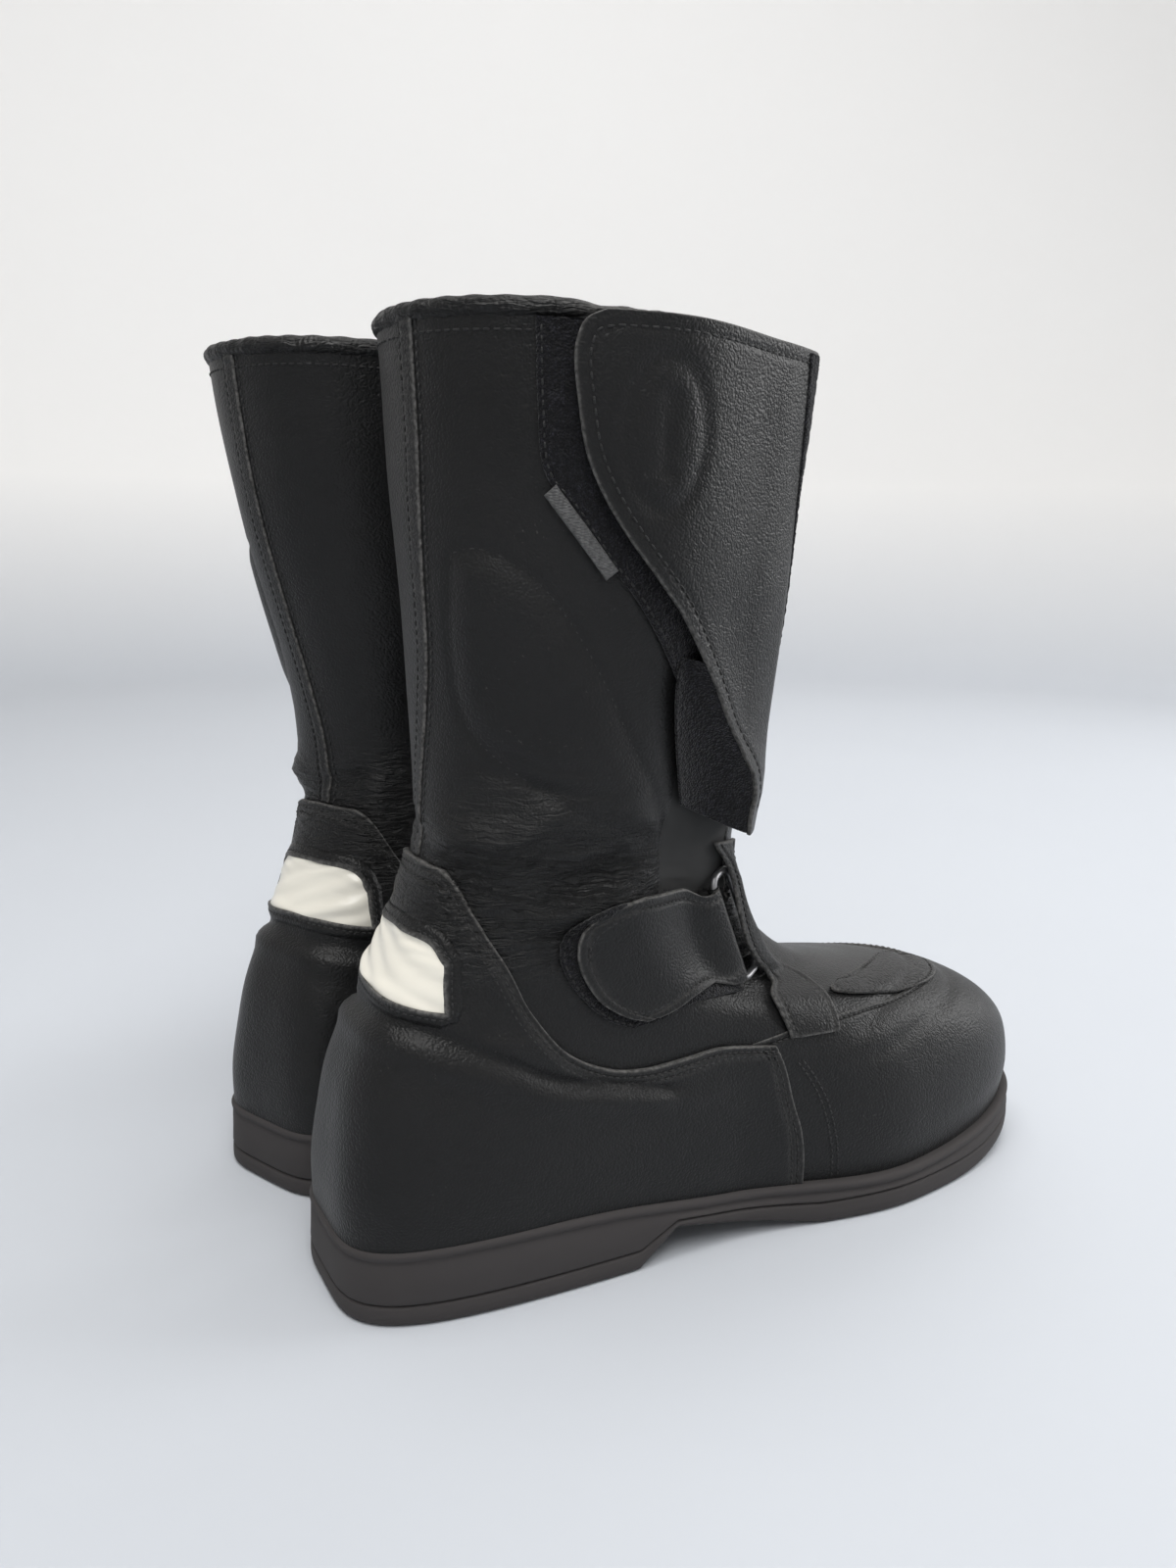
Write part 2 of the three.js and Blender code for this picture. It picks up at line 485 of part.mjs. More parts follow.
const PIECES = {
  outsole: [outsole, RUBBER],
  midsole: [midsole, RUBBER],
  shank: [shank, () => finish(0x9a9a98, 0.35, 0.9)],
  insole_board: [insoleBoard, () => finish(0x6b5a45, 0.9)],
  footbed: [footbed, FABRIC],
  toe_stiffener: [toeStiffener, () => finish(0x3a3a3a, 0.6)],
  heel_stiffener: [heelStiffener, () => finish(0x3a3a3a, 0.6)],
  lining: [lining, FABRIC],
  vamp: [vamp, LEATHERS],
  instep_panel: [instepPanel, LEATHERS],
  quarter: [quarter, LEATHERS],
  shaft_lateral: [shaftLateral, LEATHERS],
  shaft_medial: [shaftMedial, LEATHERS],
  front_panel: [frontPanel, LEATHERS],
  gusset: [gusset, FABRIC],
  back_strip: [backStrip, LEATHERS],
  collar_binding: [collarBinding, LEATHERS],
  closure_flap: [closureFlap, LEATHERS],
  flap_hook_panel: [flapHookPanel, FABRIC],
  loop_strip: [loopStrip, FABRIC],
  side_label: [sideLabel, () => finish(0x55565a, 0.7)],
  reflector: [reflector, () => finish(0xe6e2d4, 0.4)],
  heel_badge: [heelBadge, LEATHERS],
  shift_pad: [shiftPad, LEATHERS],
  ankle_strap: [ankleStrap, LEATHERS],
  strap_pad: [strapPad, FABRIC],
  strap_ring: [strapRing, () => finish(0x77777a, 0.4, 0.9)],
  ring_keeper: [keeper, LEATHERS],
  shaft_pad: [shaftPad, () => finish(0x8a8a80, 0.95)],
  shin_pad: [shinPad, () => finish(0x8a8a80, 0.95)],
};

// ---- The pair -----------------------------------------------------------------------------
// The shaft leans by this share of its full slump at a height.
const LEAN_START = 130;
const LEAN_SPAN = 190;
const leanShare = (z) => smooth((z / GRADE.z - LEAN_START) / LEAN_SPAN);

function shapeForSide(geometry, mirrored, [back, out]) {
  const p = geometry.attributes.position;
  for (let i = 0; i < p.count; i += 1) {
    const share = leanShare(p.getZ(i));
    p.setX(i, p.getX(i) + back * share);
    p.setY(i, (p.getY(i) + out * share) * (mirrored ? -1 : 1));
  }
  if (mirrored) {
    const flipped = [];
    const index = geometry.index.array;
    for (let i = 0; i < index.length; i += 3) flipped.push(index[i], index[i + 2], index[i + 1]);
    geometry.setIndex(flipped);
  }
  return geometry;
}

function boot(side, mirrored, slump) {
  const group = new THREE.Group();
  for (const [name, [shape, material]] of Object.entries(PIECES)) {
    const mesh = new THREE.Mesh(shapeForSide(shape(), mirrored, slump), material());
    mesh.name = `${side}_${name}`;
    group.add(mesh);
  }
  group.rotation.z = mirrored ? SPLAY : -SPLAY;
  return group;
}

const right = boot('right', false, [0, 0]);
const left = boot('left', true, LEFT_SLUMP);
left.position.set(STAGGER, STANCE, 0);
const pair = new THREE.Group();
pair.add(right, left);
const centre = new THREE.Box3().setFromObject(pair, true).getCenter(new THREE.Vector3());
right.position.sub(new THREE.Vector3(centre.x, centre.y, 0));
left.position.sub(new THREE.Vector3(centre.x, centre.y, 0));

// The joints' lines, each as two points in the pair's frame.
const axisIn = (group, mirrored, slump, points) => points.map((point) => {
  const share = leanShare(point.z);
  const p = new THREE.Vector3(point.x + slump[0] * share, point.y + slump[1] * share, point.z);
  if (mirrored) p.y = -p.y;
  return p.applyEuler(group.rotation).add(group.position);
});
const hingeLines = {
  flap: flapHinge,
  ring: [ringPoint(-RING_LENGTH / 2, RING_WIDTH), ringPoint(RING_LENGTH / 2, RING_WIDTH)],
  strap: [ringPoint(-RING_LENGTH / 2, 0), ringPoint(RING_LENGTH / 2, 0)],
};
for (const [name, line] of Object.entries(hingeLines)) {
  pair.userData[`right_${name}`] = axisIn(right, false, [0, 0], line);
  pair.userData[`left_${name}`] = axisIn(left, true, LEFT_SLUMP, line);
}

export default pair;
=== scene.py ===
"""Detailed leather, stitching, rubber and hardware for a pair of touring boots.

The packed model gives the bodies, the places and the joints. Each boot is drawn in its own
frame in millimetres, as a right boot with x from the back of the sole, y to the left and
z up, and is then leaned, mirrored if it is the left one, and set in its place in metres.
"""
import json
import math

import bpy
import numpy as np
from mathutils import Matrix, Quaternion, Vector


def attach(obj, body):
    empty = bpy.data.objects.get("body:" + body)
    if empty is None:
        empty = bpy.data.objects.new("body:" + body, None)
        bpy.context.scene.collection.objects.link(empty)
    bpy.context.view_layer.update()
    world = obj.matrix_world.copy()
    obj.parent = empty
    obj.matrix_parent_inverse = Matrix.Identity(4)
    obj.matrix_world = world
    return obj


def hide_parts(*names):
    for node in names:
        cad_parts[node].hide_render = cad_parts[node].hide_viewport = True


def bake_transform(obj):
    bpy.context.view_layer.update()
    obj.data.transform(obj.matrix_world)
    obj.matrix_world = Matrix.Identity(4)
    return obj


bl_info = {
    "name": "Touring Boot Maker",
    "version": (1, 0, 0),
    "blender": (4, 5, 0),
    "location": "View3D > Sidebar > Boots",
    "description": "Builds the leather, seams, soles and hardware of a pair of touring boots",
    "category": "Add Mesh",
}

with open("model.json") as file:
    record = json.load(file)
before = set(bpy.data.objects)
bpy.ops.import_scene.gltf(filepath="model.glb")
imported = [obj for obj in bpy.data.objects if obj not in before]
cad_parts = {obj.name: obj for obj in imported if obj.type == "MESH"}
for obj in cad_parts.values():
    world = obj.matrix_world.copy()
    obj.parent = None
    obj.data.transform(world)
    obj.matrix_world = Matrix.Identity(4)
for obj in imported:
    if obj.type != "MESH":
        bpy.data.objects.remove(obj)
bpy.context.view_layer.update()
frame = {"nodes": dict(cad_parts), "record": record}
RECORD = frame["record"]
MOUNTS = {m["name"]: np.array(m["pos_m"]) for m in RECORD["mounts"]}
SIDES = ("right", "left")
MM = 0.001

# ---- The last: contours of the upper, from the sole's edge (v = 0) to the rim (v = 1) -----------
# v, heel x and z, toe or shin x and z, half widths at heel, waist and front, how square the
# heel end and the toe end are, and how far the contour follows the sole's curve.
CONTOURS = np.array([
    (0.00, 5, 24.5, 299, 25, 38.5, 39, 51, 4.6, 3.0, 1.0),
    (0.08, 5, 40, 300, 39, 39.5, 40.5, 53, 4.4, 2.9, 0.8),
    (0.16, 7, 57, 295, 55, 39, 40.5, 51, 4.0, 2.8, 0.5),
    (0.24, 10, 74, 278, 68, 38, 39.5, 46, 3.6, 2.6, 0.2),
    (0.32, 16, 90, 249, 78, 37, 38.5, 38, 3.2, 2.4, 0.0),
    (0.40, 23, 106, 217, 84, 36, 37, 30, 2.9, 2.2, 0.0),
    (0.48, 30, 122, 188, 92, 36, 37, 27, 2.6, 2.1, 0.0),
    (0.56, 36, 140, 166, 112, 38, 38, 28, 2.4, 2.1, 0.0),
    (0.64, 38, 160, 158, 138, 41, 41, 32, 2.3, 2.1, 0.0),
    (0.72, 38, 188, 162, 170, 44, 45, 38, 2.2, 2.1, 0.0),
    (0.84, 35, 239, 170, 228, 49, 51.5, 45, 2.2, 2.1, 0.0),
    (1.00, 30, 315, 178, 309, 54, 57, 51, 2.2, 2.1, 0.0),
])
SEAT_CURVE = np.array([(0, 24.5), (50, 25), (90, 23.5), (140, 17.5), (205, 13.5), (260, 17), (310, 25.5)])
UPPER_LENGTH = 295.0
TOE_SWING = 8.0
MEDIAL_HEEL = 0.10
MEDIAL_FORE = 0.06
LEAN_START = 130.0
LEAN_SPAN = 190.0
SLUMP = {"right": (0.0, 0.0), "left": (-20.0, -8.0)}
HEEL_MOUNT_X = 50.0
RIM_OUT = 0.0021               # v for each millimetre of height near the rim


def smooth(q):
    """An eased step from 0 to 1."""
    c = np.clip(q, 0.0, 1.0)
    return c * c * (3 - 2 * c)


def mix(a, b, share):
    return a + (b - a) * share


def rows_at(rows, at):
    """The smooth curve through rows of values, read at the first column's value."""
    slopes = np.empty_like(rows)
    slopes[1:-1] = (rows[2:] - rows[:-2]) / (rows[2:, :1] - rows[:-2, :1])
    slopes[0] = (rows[1] - rows[0]) / (rows[1, 0] - rows[0, 0])
    slopes[-1] = (rows[-1] - rows[-2]) / (rows[-1, 0] - rows[-2, 0])
    i = np.clip(np.searchsorted(rows[:, 0], at, side="right") - 1, 0, len(rows) - 2)
    h = rows[i + 1, 0] - rows[i, 0]
    s = np.clip((at - rows[i, 0]) / h, -0.2, 1.2)[..., None]
    h = h[..., None]
    ease = 3 * s**2 - 2 * s**3
    bend_in = (s**3 - 2 * s**2 + s) * h * slopes[i]
    bend_out = (s**3 - s**2) * h * slopes[i + 1]
    return (1 - ease) * rows[i] + bend_in + ease * rows[i + 1] + bend_out


def seat_height(x):
    return rows_at(SEAT_CURVE.astype(float), np.asarray(x, float))[..., 1]


def above_seat(rise):
    """The height of a line that runs along the seat, some way above or below it."""
    return lambda x: seat_height(x) + rise


def face(t, v):
    """The upper's outer face. t runs from the back (0) over the outer side (0.25) and toe or shin (0.5)."""
    t, v = np.broadcast_arrays(np.asarray(t, float), np.asarray(v, float))
    row = np.moveaxis(rows_at(CONTOURS, v), -1, 0)
    _, heel_x, heel_z, toe_x, toe_z, heel_w, waist_w, fore_w, square_heel, square_toe, sag = row
    c, s = np.cos(2 * np.pi * t), np.sin(2 * np.pi * t)
    power = mix(square_heel, square_toe, (1 - c) / 2)
    r = (np.abs(c) ** power + np.abs(s) ** power) ** (-1 / power)
    along = (1 - r * c) / 2
    side = np.where(s >= 0, -1.0, 1.0)
    foot = np.clip(1 - v / 0.4, 0, 1)
    slim = np.where(side > 0, foot, 0)
    width = mix(heel_w, waist_w * (1 - MEDIAL_HEEL * slim), smooth((along - 0.14) / 0.31))
    width = mix(width, fore_w * (1 - MEDIAL_FORE * slim), smooth((along - 0.45) / 0.27))
    x = mix(heel_x, toe_x, along)
    y = side * width * r * np.abs(s) + TOE_SWING * foot * np.clip((x - 150) / 150, 0, 1) ** 2
    z = mix(heel_z, toe_z, smooth(along))
    z = z + (seat_height(x) - mix(CONTOURS[0, 2], CONTOURS[0, 4], smooth(along))) * sag
    return np.stack([x, y, z], -1)


def unit(vectors):
    return vectors / np.maximum(np.linalg.norm(vectors, axis=-1, keepdims=True), 1e-9)


def outward(t, v):
    """The direction out of the upper at (t, v)."""
    step = 0.003
    v = np.asarray(v, float)
    along_t = face(t + step, v) - face(t - step, v)
    along_v = face(t, v + step) - face(t, np.maximum(v - step, 0))
    return unit(np.cross(along_t, along_v))


# ---- Curves on the upper ------------------------------------------------------------------------
def curve(points, count=160, rounds=True):
    """A smooth line through hand-chosen (t, v) points, evenly spaced over the leather."""
    p = np.array(points, float)
    if rounds and len(p) > 2:
        padded = np.vstack([2 * p[0] - p[1], p, 2 * p[-1] - p[-2]])
        s = np.linspace(0, len(p) - 1, 24 * (len(p) - 1) + 1)
        i = np.minimum(s.astype(int), len(p) - 2)
        f = (s - i)[:, None]
        a, b, c, d = (padded[i + k] for k in range(4))
        p = 0.5 * (2 * b + (c - a) * f + (2 * a - 5 * b + 4 * c - d) * f**2 + (3 * b - a - 3 * c + d) * f**3)
    else:
        s = np.linspace(0, len(p) - 1, 24 * (len(p) - 1) + 1)
        p = np.stack([np.interp(s, range(len(p)), p[:, k]) for k in range(2)], -1)
    run = np.r_[0, np.cumsum(np.linalg.norm(np.diff(face(p[:, 0], p[:, 1]), axis=0), axis=1))]
    even = np.linspace(0, run[-1], count)
    return np.stack([np.interp(even, run, p[:, k]) for k in range(2)], -1)


def at(line, s):
    """Points of an evenly spaced line at shares s of its length."""
    places = np.linspace(0, 1, len(line))
    return np.stack([np.interp(s, places, line[:, k]) for k in range(line.shape[1])], -1)


def quilt(low, high, start, end):
    """A patch inside four lines: low and high run along a, start and end run up b."""
    def place(a, b):
        a_, b_ = a[..., None], b[..., None]
        sides = at(low, a) * (1 - b_) + at(high, a) * b_ + at(start, b) * (1 - a_) + at(end, b) * a_
        corners = low[0] * (1 - a_) * (1 - b_) + low[-1] * a_ * (1 - b_)
        corners = corners + high[0] * (1 - a_) * b_ + high[-1] * a_ * b_
        return sides - corners
    return place


def four_sides(low, high, start=None, end=None):
    """A patch between two lines, with straight or given ends."""
    low, high = curve(low), curve(high)
    start = curve([low[0], high[0]]) if start is None else curve([low[0], *start, high[0]])
    end = curve([low[-1], high[-1]]) if end is None else curve([low[-1], *end, high[-1]])
    return quilt(low, high, start, end)


def distance_to(points, line):
    """How far each point lies from a line of points, in millimetres."""
    flat = points.reshape(-1, 3)
    best = np.full(len(flat), 1e9)
    for p, q in zip(line[:-1], line[1:]):
        run = q - p
        share = np.clip((flat - p) @ run / max(run @ run, 1e-9), 0, 1)
        best = np.minimum(best, np.linalg.norm(flat - p - share[:, None] * run, axis=1))
    return best.reshape(points.shape[:-1])


def inside(t, v, outline):
    """Which places lie inside a closed outline."""
    hit = np.zeros(np.shape(t), bool)
    for (t0, v0), (t1, v1) in zip(outline, np.roll(outline, -1, axis=0)):
        crosses = (v0 > v) != (v1 > v)
        if v0 != v1:
            hit ^= crosses & (t < (t1 - t0) * (v - v0) / (v1 - v0) + t0)
    return hit


def turned(t):
    """t measured from the back, from -0.5 on the inner side to 0.5 on the outer side."""
    return (np.asarray(t, float) + 0.5) % 1 - 0.5


# ---- Folds, puffed panels and creases -----------------------------------------------------------
SHAFT_PAD = [(.075, .85), (.103, .853), (.14, .84), (.172, .81), (.203, .768), (.228, .73), (.272, .672),
             (.262, .655), (.202, .662), (.145, .688), (.092, .72), (.073, .748), (.068, .795)]
# Each crease: its line, how deep it goes (below zero) or how high it stands, and its half width.
CREASES = [
    ([(.275, .655), (.257, .642), (.222, .616), (.196, .592), (.172, .579), (.150, .556)], -5.2, 5.6),
    ([(.285, .660), (.26, .655), (.235, .648)], -2.0, 5.0),
    ([(.02, .632), (.037, .630), (.099, .624), (.139, .636), (.175, .660), (.215, .664)], 3.2, 5.6),
    ([(.258, .596), (.208, .566), (.172, .538), (.147, .508)], 2.8, 4.2),
    ([(.26, .572), (.225, .545), (.190, .520), (.165, .500)], -1.2, 2.4),
    ([(.145, .585), (.12, .575), (.09, .585), (.05, .590)], -1.5, 3.4),
    ([(.145, .545), (.125, .520), (.115, .500)], -1.1, 2.2),
    ([(.17, .610), (.14, .604), (.11, .610), (.08, .612)], -0.9, 1.6),
    ([(.25, .622), (.225, .603), (.205, .592)], -0.9, 1.5),
    ([(.24, .655), (.21, .643), (.18, .632)], -0.9, 1.6),
    ([(.20, .500), (.180, .470), (.165, .450)], -0.8, 1.8),
    ([(.22, .690), (.17, .684), (.12, .690), (.09, .700)], -0.9, 2.2),
    ([(.20, .706), (.16, .704), (.12, .716)], -0.6, 1.6),
    ([(-.15, .290), (-.10, .335), (-.018, .352), (.086, .352), (.127, .320), (.151, .284), (.167, .248),
      (.190, .225), (.215, .20)], -1.9, 1.9),
    ([(-.15, .262), (-.10, .305), (-.018, .322), (.080, .322), (.118, .292), (.145, .258), (.165, .222),
      (.190, .200), (.215, .18)], 1.3, 3.6),
    ([(.150, .225), (.175, .205), (.21, .190), (.24, .185)], 0.7, 4.0),
    ([(-.11, .415), (0, .392), (.06, .395), (.10, .372), (.115, .356)], 0.8, 2.2),
    ([(-.24, .646), (-.20, .622), (-.16, .630), (-.12, .612)], -3.2, 5.0),
    ([(-.26, .600), (-.20, .585), (-.14, .592)], -1.9, 3.0),
    ([(-.22, .560), (-.17, .540), (-.13, .552)], -1.2, 2.4),
    ([(-.10, .640), (-.05, .628), (0, .620), (.03, .610)], -1.6, 3.2),
    ([(.43, .62), (.50, .606), (.57, .622)], -2.6, 5.0),
    ([(.42, .66), (.50, .648), (.60, .664)], -1.4, 3.2),
    ([(.30, .245), (.34, .29), (.40, .318), (.50, .325), (.60, .318), (.66, .29)], -1.0, 3.0),
    ([(.30, .205), (.36, .25), (.44, .272), (.52, .272), (.60, .26)], -0.7, 2.6),
]
PAD_RISE = 1.5
PAD_SHOULDER = 9.0
STITCH_SINK = 0.6
RIPPLE_HEIGHT = 0.55
SLACK_HEIGHT = 0.7             # long soft waves of the shaft


def crease_lines():
    lines = []
    for points, height, width in CREASES:
        c = curve(points, 24)
        lines.append((face(c[:, 0], c[:, 1]), height, width))
    return lines


CREASE_LINES = crease_lines()
PAD_OUTLINE = curve([*SHAFT_PAD, SHAFT_PAD[0]], 120)
PAD_LINE = face(PAD_OUTLINE[:, 0], PAD_OUTLINE[:, 1])


def fold_height(t, v):
    """How far the worn leather stands off its smooth face: creases, ripples and the puffed pad."""
    t, v = np.broadcast_arrays(np.asarray(t, float), np.asarray(v, float))
    points = face(t, v)
    height = np.zeros(t.shape)
    for line, rise, width in CREASE_LINES:
        low, high = line.min(0) - 3 * width, line.max(0) + 3 * width
        near = np.all((points > low) & (points < high), axis=-1)
        if near.any():
            spot = points[near]
            to_end = np.minimum(*(np.linalg.norm(spot - line[k], axis=-1) for k in (0, -1)))
            fade = 0.15 + 0.85 * smooth(to_end / (4 * width))
            height[near] += rise * fade * np.exp(-(distance_to(spot, line) / width) ** 2)
    back = turned(t)
    ankle = ankle_wear(t, v)
    ripple = np.sin(v * 330 - back * 60 + 5 * np.sin(back * 21) + 2.2 * np.sin(back * 57 + v * 30))
    height += RIPPLE_HEIGHT * ankle * ripple * (0.6 + 0.4 * np.sin(back * 90 + v * 60))
    broad = np.sin(back * 17 + v * 9) * np.sin(v * 23 + back * 6)
    height += SLACK_HEIGHT * broad * smooth((v - 0.45) / 0.1) * smooth((1 - v) / 0.12)
    pad = (v > 0.6) & (v < 0.9) & (back > 0) & (back < 0.32)
    if pad.any():
        off = distance_to(points[pad], PAD_LINE)
        within = inside(back[pad], v[pad], PAD_OUTLINE)
        puff = np.where(within, PAD_RISE * smooth(off / PAD_SHOULDER), 0)
        height[pad] += puff - STITCH_SINK * np.exp(-(off / 1.3) ** 2)
    return height


def ankle_wear(t, v):
    """Where the leather has folded most, from 0 to 1."""
    back = np.abs(turned(t))
    band = np.exp(-((v - 0.585) / 0.065) ** 2) + 0.7 * np.exp(-((v - 0.50) / 0.05) ** 2)
    return np.clip(band, 0, 1) * smooth((0.46 - back) / 0.12) * (0.45 + 0.55 * smooth((back - 0.02) / 0.08))


def layer(t, v, out):
    """A point at a distance outside the worn face."""
    return face(t, v) + outward(t, v) * (np.asarray(out) + fold_height(t, v))[..., None]


# ---- From a boot's frame to the pair's ----------------------------------------------------------
def lean(points, side):
    back, out = SLUMP[side]
    share = smooth((points[..., 2] - LEAN_START) / LEAN_SPAN)
    return points + np.stack([back * share, out * share, 0 * share], -1)


def settle(points, side):
    """Leans, mirrors, turns and moves a boot's points into the pair's frame, in metres."""
    p = lean(np.asarray(points, float), side) * MM
    if side == "left":
        p = p * np.array([1, -1, 1])
    heel, ball = MOUNTS[f"{side}_heel_face"], MOUNTS[f"{side}_ball_face"]
    ahead = unit((ball - heel)[None])[0]
    across = np.array([-ahead[1], ahead[0], 0])
    base = heel - ahead * HEEL_MOUNT_X * MM
    return base + p[..., :1] * ahead + p[..., 1:2] * across + p[..., 2:] * np.array([0, 0, 1])


def make(name, side, points, faces, material, marks=None, body="pair", slot=None):
    """A smooth mesh from a boot's points. marks are values stored on its points."""
    faces = [f[::-1] for f in faces] if side == "left" else faces
    mesh = bpy.data.meshes.new(f"{side}_{name}")
    mesh.from_pydata(settle(points, side).tolist(), [], faces)
    mesh.polygons.foreach_set("use_smooth", [True] * len(mesh.polygons))
    for mark, values in (marks or {}).items():
        mesh.attributes.new(mark, "FLOAT", "POINT").data.foreach_set("value", np.ravel(values).astype("f"))
    mesh.materials.append(material)
    mesh.update()
    piece = bpy.data.objects.new(f"{side}_{name}", mesh)
    bpy.context.scene.collection.objects.link(piece)
    if body:
        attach(piece, body if body == "pair" else f"{side}_{body}")
    return piece


def grid_faces(rows, columns, start=0, closed=False):
    """Quads over a grid of points, row by row."""
    i, j = np.meshgrid(np.arange(rows - 1), np.arange(columns if closed else columns - 1), indexing="ij")
    k = (j + 1) % columns
    quads = np.stack([i * columns + j, i * columns + k, (i + 1) * columns + k, (i + 1) * columns + j], -1)
    return (quads.reshape(-1, 4) + start).tolist()


def closing_faces(rows, columns):
    """Quads that join the last row of a closed grid back to its first."""
    last = (rows - 1) * columns
    return [[last + k, last + (k + 1) % columns, (k + 1) % columns, k] for k in range(columns)]


# ---- Leather panels -----------------------------------------------------------------------------
EDGE_STEPS = (0.0, 0.1, 0.3, 0.65, 1.1, 1.7, 2.3, 2.8, 3.3, 3.9, 4.7, 5.6)
EDGE_ROUND = 0.65
RAW_WIDTH = 0.6
ROW_WIDTH = 0.55
ROW_PAINTED_HIGHLIGHT = 0.20              # painted highlight: how much lighter the leather is drawn along a row of stitches, standing in for the lit puckers between them
ROW_PAINTED_HIGHLIGHT_WIDTH = 1.1


def steps_along(length, spacing):
    """Shares of a length, closer together near both ends for the rounded edges and seams."""
    rim = [d for d in EDGE_STEPS if d < length * 0.3]
    last = rim[-1]
    count = max(2, int(round((length - 2 * last) / spacing)))
    middle = np.linspace(last, length - last, count + 1)[1:-1]
    return np.r_[rim, middle, length - np.array(rim[::-1])] / length


def cut_profile(distance):
    """How far a cut edge falls away at a distance in from it."""
    d = np.clip(distance / EDGE_ROUND, 0, 1)
    return EDGE_ROUND * (np.sqrt(1 - (1 - d) ** 2) - 1)


def panel(name, side, domain, out, material, cut="", sunk=(), spacing=1.8, lift=None, place=None,
          relief=None, folded=False, **rest):
    """A panel of the upper with thickness. cut names its raw edges (w, e, s, n); sunk gives the
    distances of its stitch rows from each edge; lift raises it, relief shapes its outer face, and
    folded leather shows fine creases at the ankle."""
    place = place or layer
    s = np.linspace(0, 1, 25)
    a, b = np.meshgrid(s, s)
    tv = domain(a, b)
    rough = face(tv[..., 0], tv[..., 1])
    along = np.linalg.norm(np.diff(rough, axis=1), axis=-1).sum(1).mean()
    up = np.linalg.norm(np.diff(rough, axis=0), axis=-1).sum(0).mean()
    a, b = np.meshgrid(steps_along(along, spacing), steps_along(up, spacing))
    tv = domain(a, b)
    t, v = tv[..., 0], tv[..., 1]
    base = face(t, v)
    run_a = np.linalg.norm(np.diff(base, axis=1), axis=-1)
    run_b = np.linalg.norm(np.diff(base, axis=0), axis=-1)
    west = np.concatenate([np.zeros((len(a), 1)), run_a.cumsum(1)], 1)
    south = np.concatenate([np.zeros((1, a.shape[1])), run_b.cumsum(0)], 0)
    ways = {"w": west, "e": west[:, -1:] - west, "s": south, "n": south[-1:] - south}
    drop = np.zeros(a.shape)
    raw = np.zeros(a.shape)
    for key in cut:
        drop = np.minimum(drop, cut_profile(ways[key]))
        raw = np.maximum(raw, np.exp(-(ways[key] / RAW_WIDTH) ** 2))
    # Each stitch row sinks the leather and lays a band of painted highlight along it, in the same mark as
    # the raw edges.
    for key, distance in sunk:
        drop = drop - STITCH_SINK * np.exp(-((ways[key] - distance) / ROW_WIDTH) ** 2)
        lightened = np.exp(-((ways[key] - distance) / ROW_PAINTED_HIGHLIGHT_WIDTH) ** 2)
        raw = np.maximum(raw, ROW_PAINTED_HIGHLIGHT * lightened)
    raised = 0 if lift is None else lift(a, b)
    shaped = 0 if relief is None else relief(t, v)
    outer = place(t, v, out[1] + drop + raised + shaped)
    inner = place(t, v, out[0] + raised + 0 * a)
    rows, columns = a.shape
    size = rows * columns
    faces = grid_faces(rows, columns) + [f[::-1] for f in grid_faces(rows, columns, size)]
    ring = np.r_[np.arange(columns), np.arange(1, rows) * columns + columns - 1,
                 (rows - 1) * columns + np.arange(columns - 2, -1, -1), np.arange(rows - 2, 0, -1) * columns]
    after = np.roll(ring, -1)
    faces += np.stack([ring + size, after + size, after, ring], -1).tolist()
    mid = (rows // 2, columns // 2)
    turn = np.cross(outer[mid[0], mid[1] + 1] - outer[mid], outer[mid[0] + 1, mid[1]] - outer[mid])
    if turn @ (outer[mid] - inner[mid]) < 0:
        faces = [f[::-1] for f in faces]
    points = np.concatenate([outer.reshape(-1, 3), inner.reshape(-1, 3)])
    wall = np.ones(a.shape) * (1.0 if cut else 0.0)
    interior = np.minimum.reduce([ways[k] for k in "wesn"]) > 0.5
    wall[interior] = 0
    # This mark holds both the lighter raw edges and the painted highlight along the stitch rows.
    marks = {"raw_edge_and_row_highlight": np.r_[raw.ravel(), (raw * wall).ravel()],
             "crinkle": np.r_[(ankle_wear(t, v) * folded).ravel(), np.zeros(size)]}
    return make(name, side, points, faces, material, marks, **rest)


# ---- Stitches -----------------------------------------------------------------------------------
STITCH_PITCH = 2.6
THREAD_RADIUS = 0.36
THREAD_SHAPE = np.array([(0.10, 0.3, -0.35), (0.20, 0.9, 0.0), (0.47, 1.0, 0.10), (0.74, 0.9, 0.0),
                         (0.84, 0.3, -0.35)])
THREAD_SIDES = 6


def stitch_points(points, normals, pitch):
    """Short threads along a run of points: for each stitch, five rings of six points."""
    run = np.r_[0, np.cumsum(np.linalg.norm(np.diff(points, axis=0), axis=1))]
    count = max(int(run[-1] / pitch), 1)
    start = np.arange(count) * run[-1] / count
    where = start[:, None] + THREAD_SHAPE[:, 0] * run[-1] / count
    centre = np.stack([np.interp(where, run, points[:, k]) for k in range(3)], -1)
    up = unit(np.stack([np.interp(where, run, normals[:, k]) for k in range(3)], -1))
    ahead = unit(centre[:, -1:] - centre[:, :1])
    across = unit(np.cross(ahead + 0 * up, up))
    centre = centre + up * THREAD_SHAPE[:, 2, None]
    turn = np.linspace(0, 2 * np.pi, THREAD_SIDES, endpoint=False)
    ring = np.cos(turn)[:, None] * across[:, :, None] + np.sin(turn)[:, None] * up[:, :, None]
    return centre[:, :, None] + ring * (THREAD_SHAPE[:, 1, None, None] * THREAD_RADIUS)


def stitch_faces(count):
    rings = len(THREAD_SHAPE)
    one = grid_faces(rings, THREAD_SIDES, closed=True)
    caps = [list(range(THREAD_SIDES))[::-1], [(rings - 1) * THREAD_SIDES + k for k in range(THREAD_SIDES)]]
    size = rings * THREAD_SIDES
    return [[i + k * size for i in f] for k in range(count) for f in one + caps]


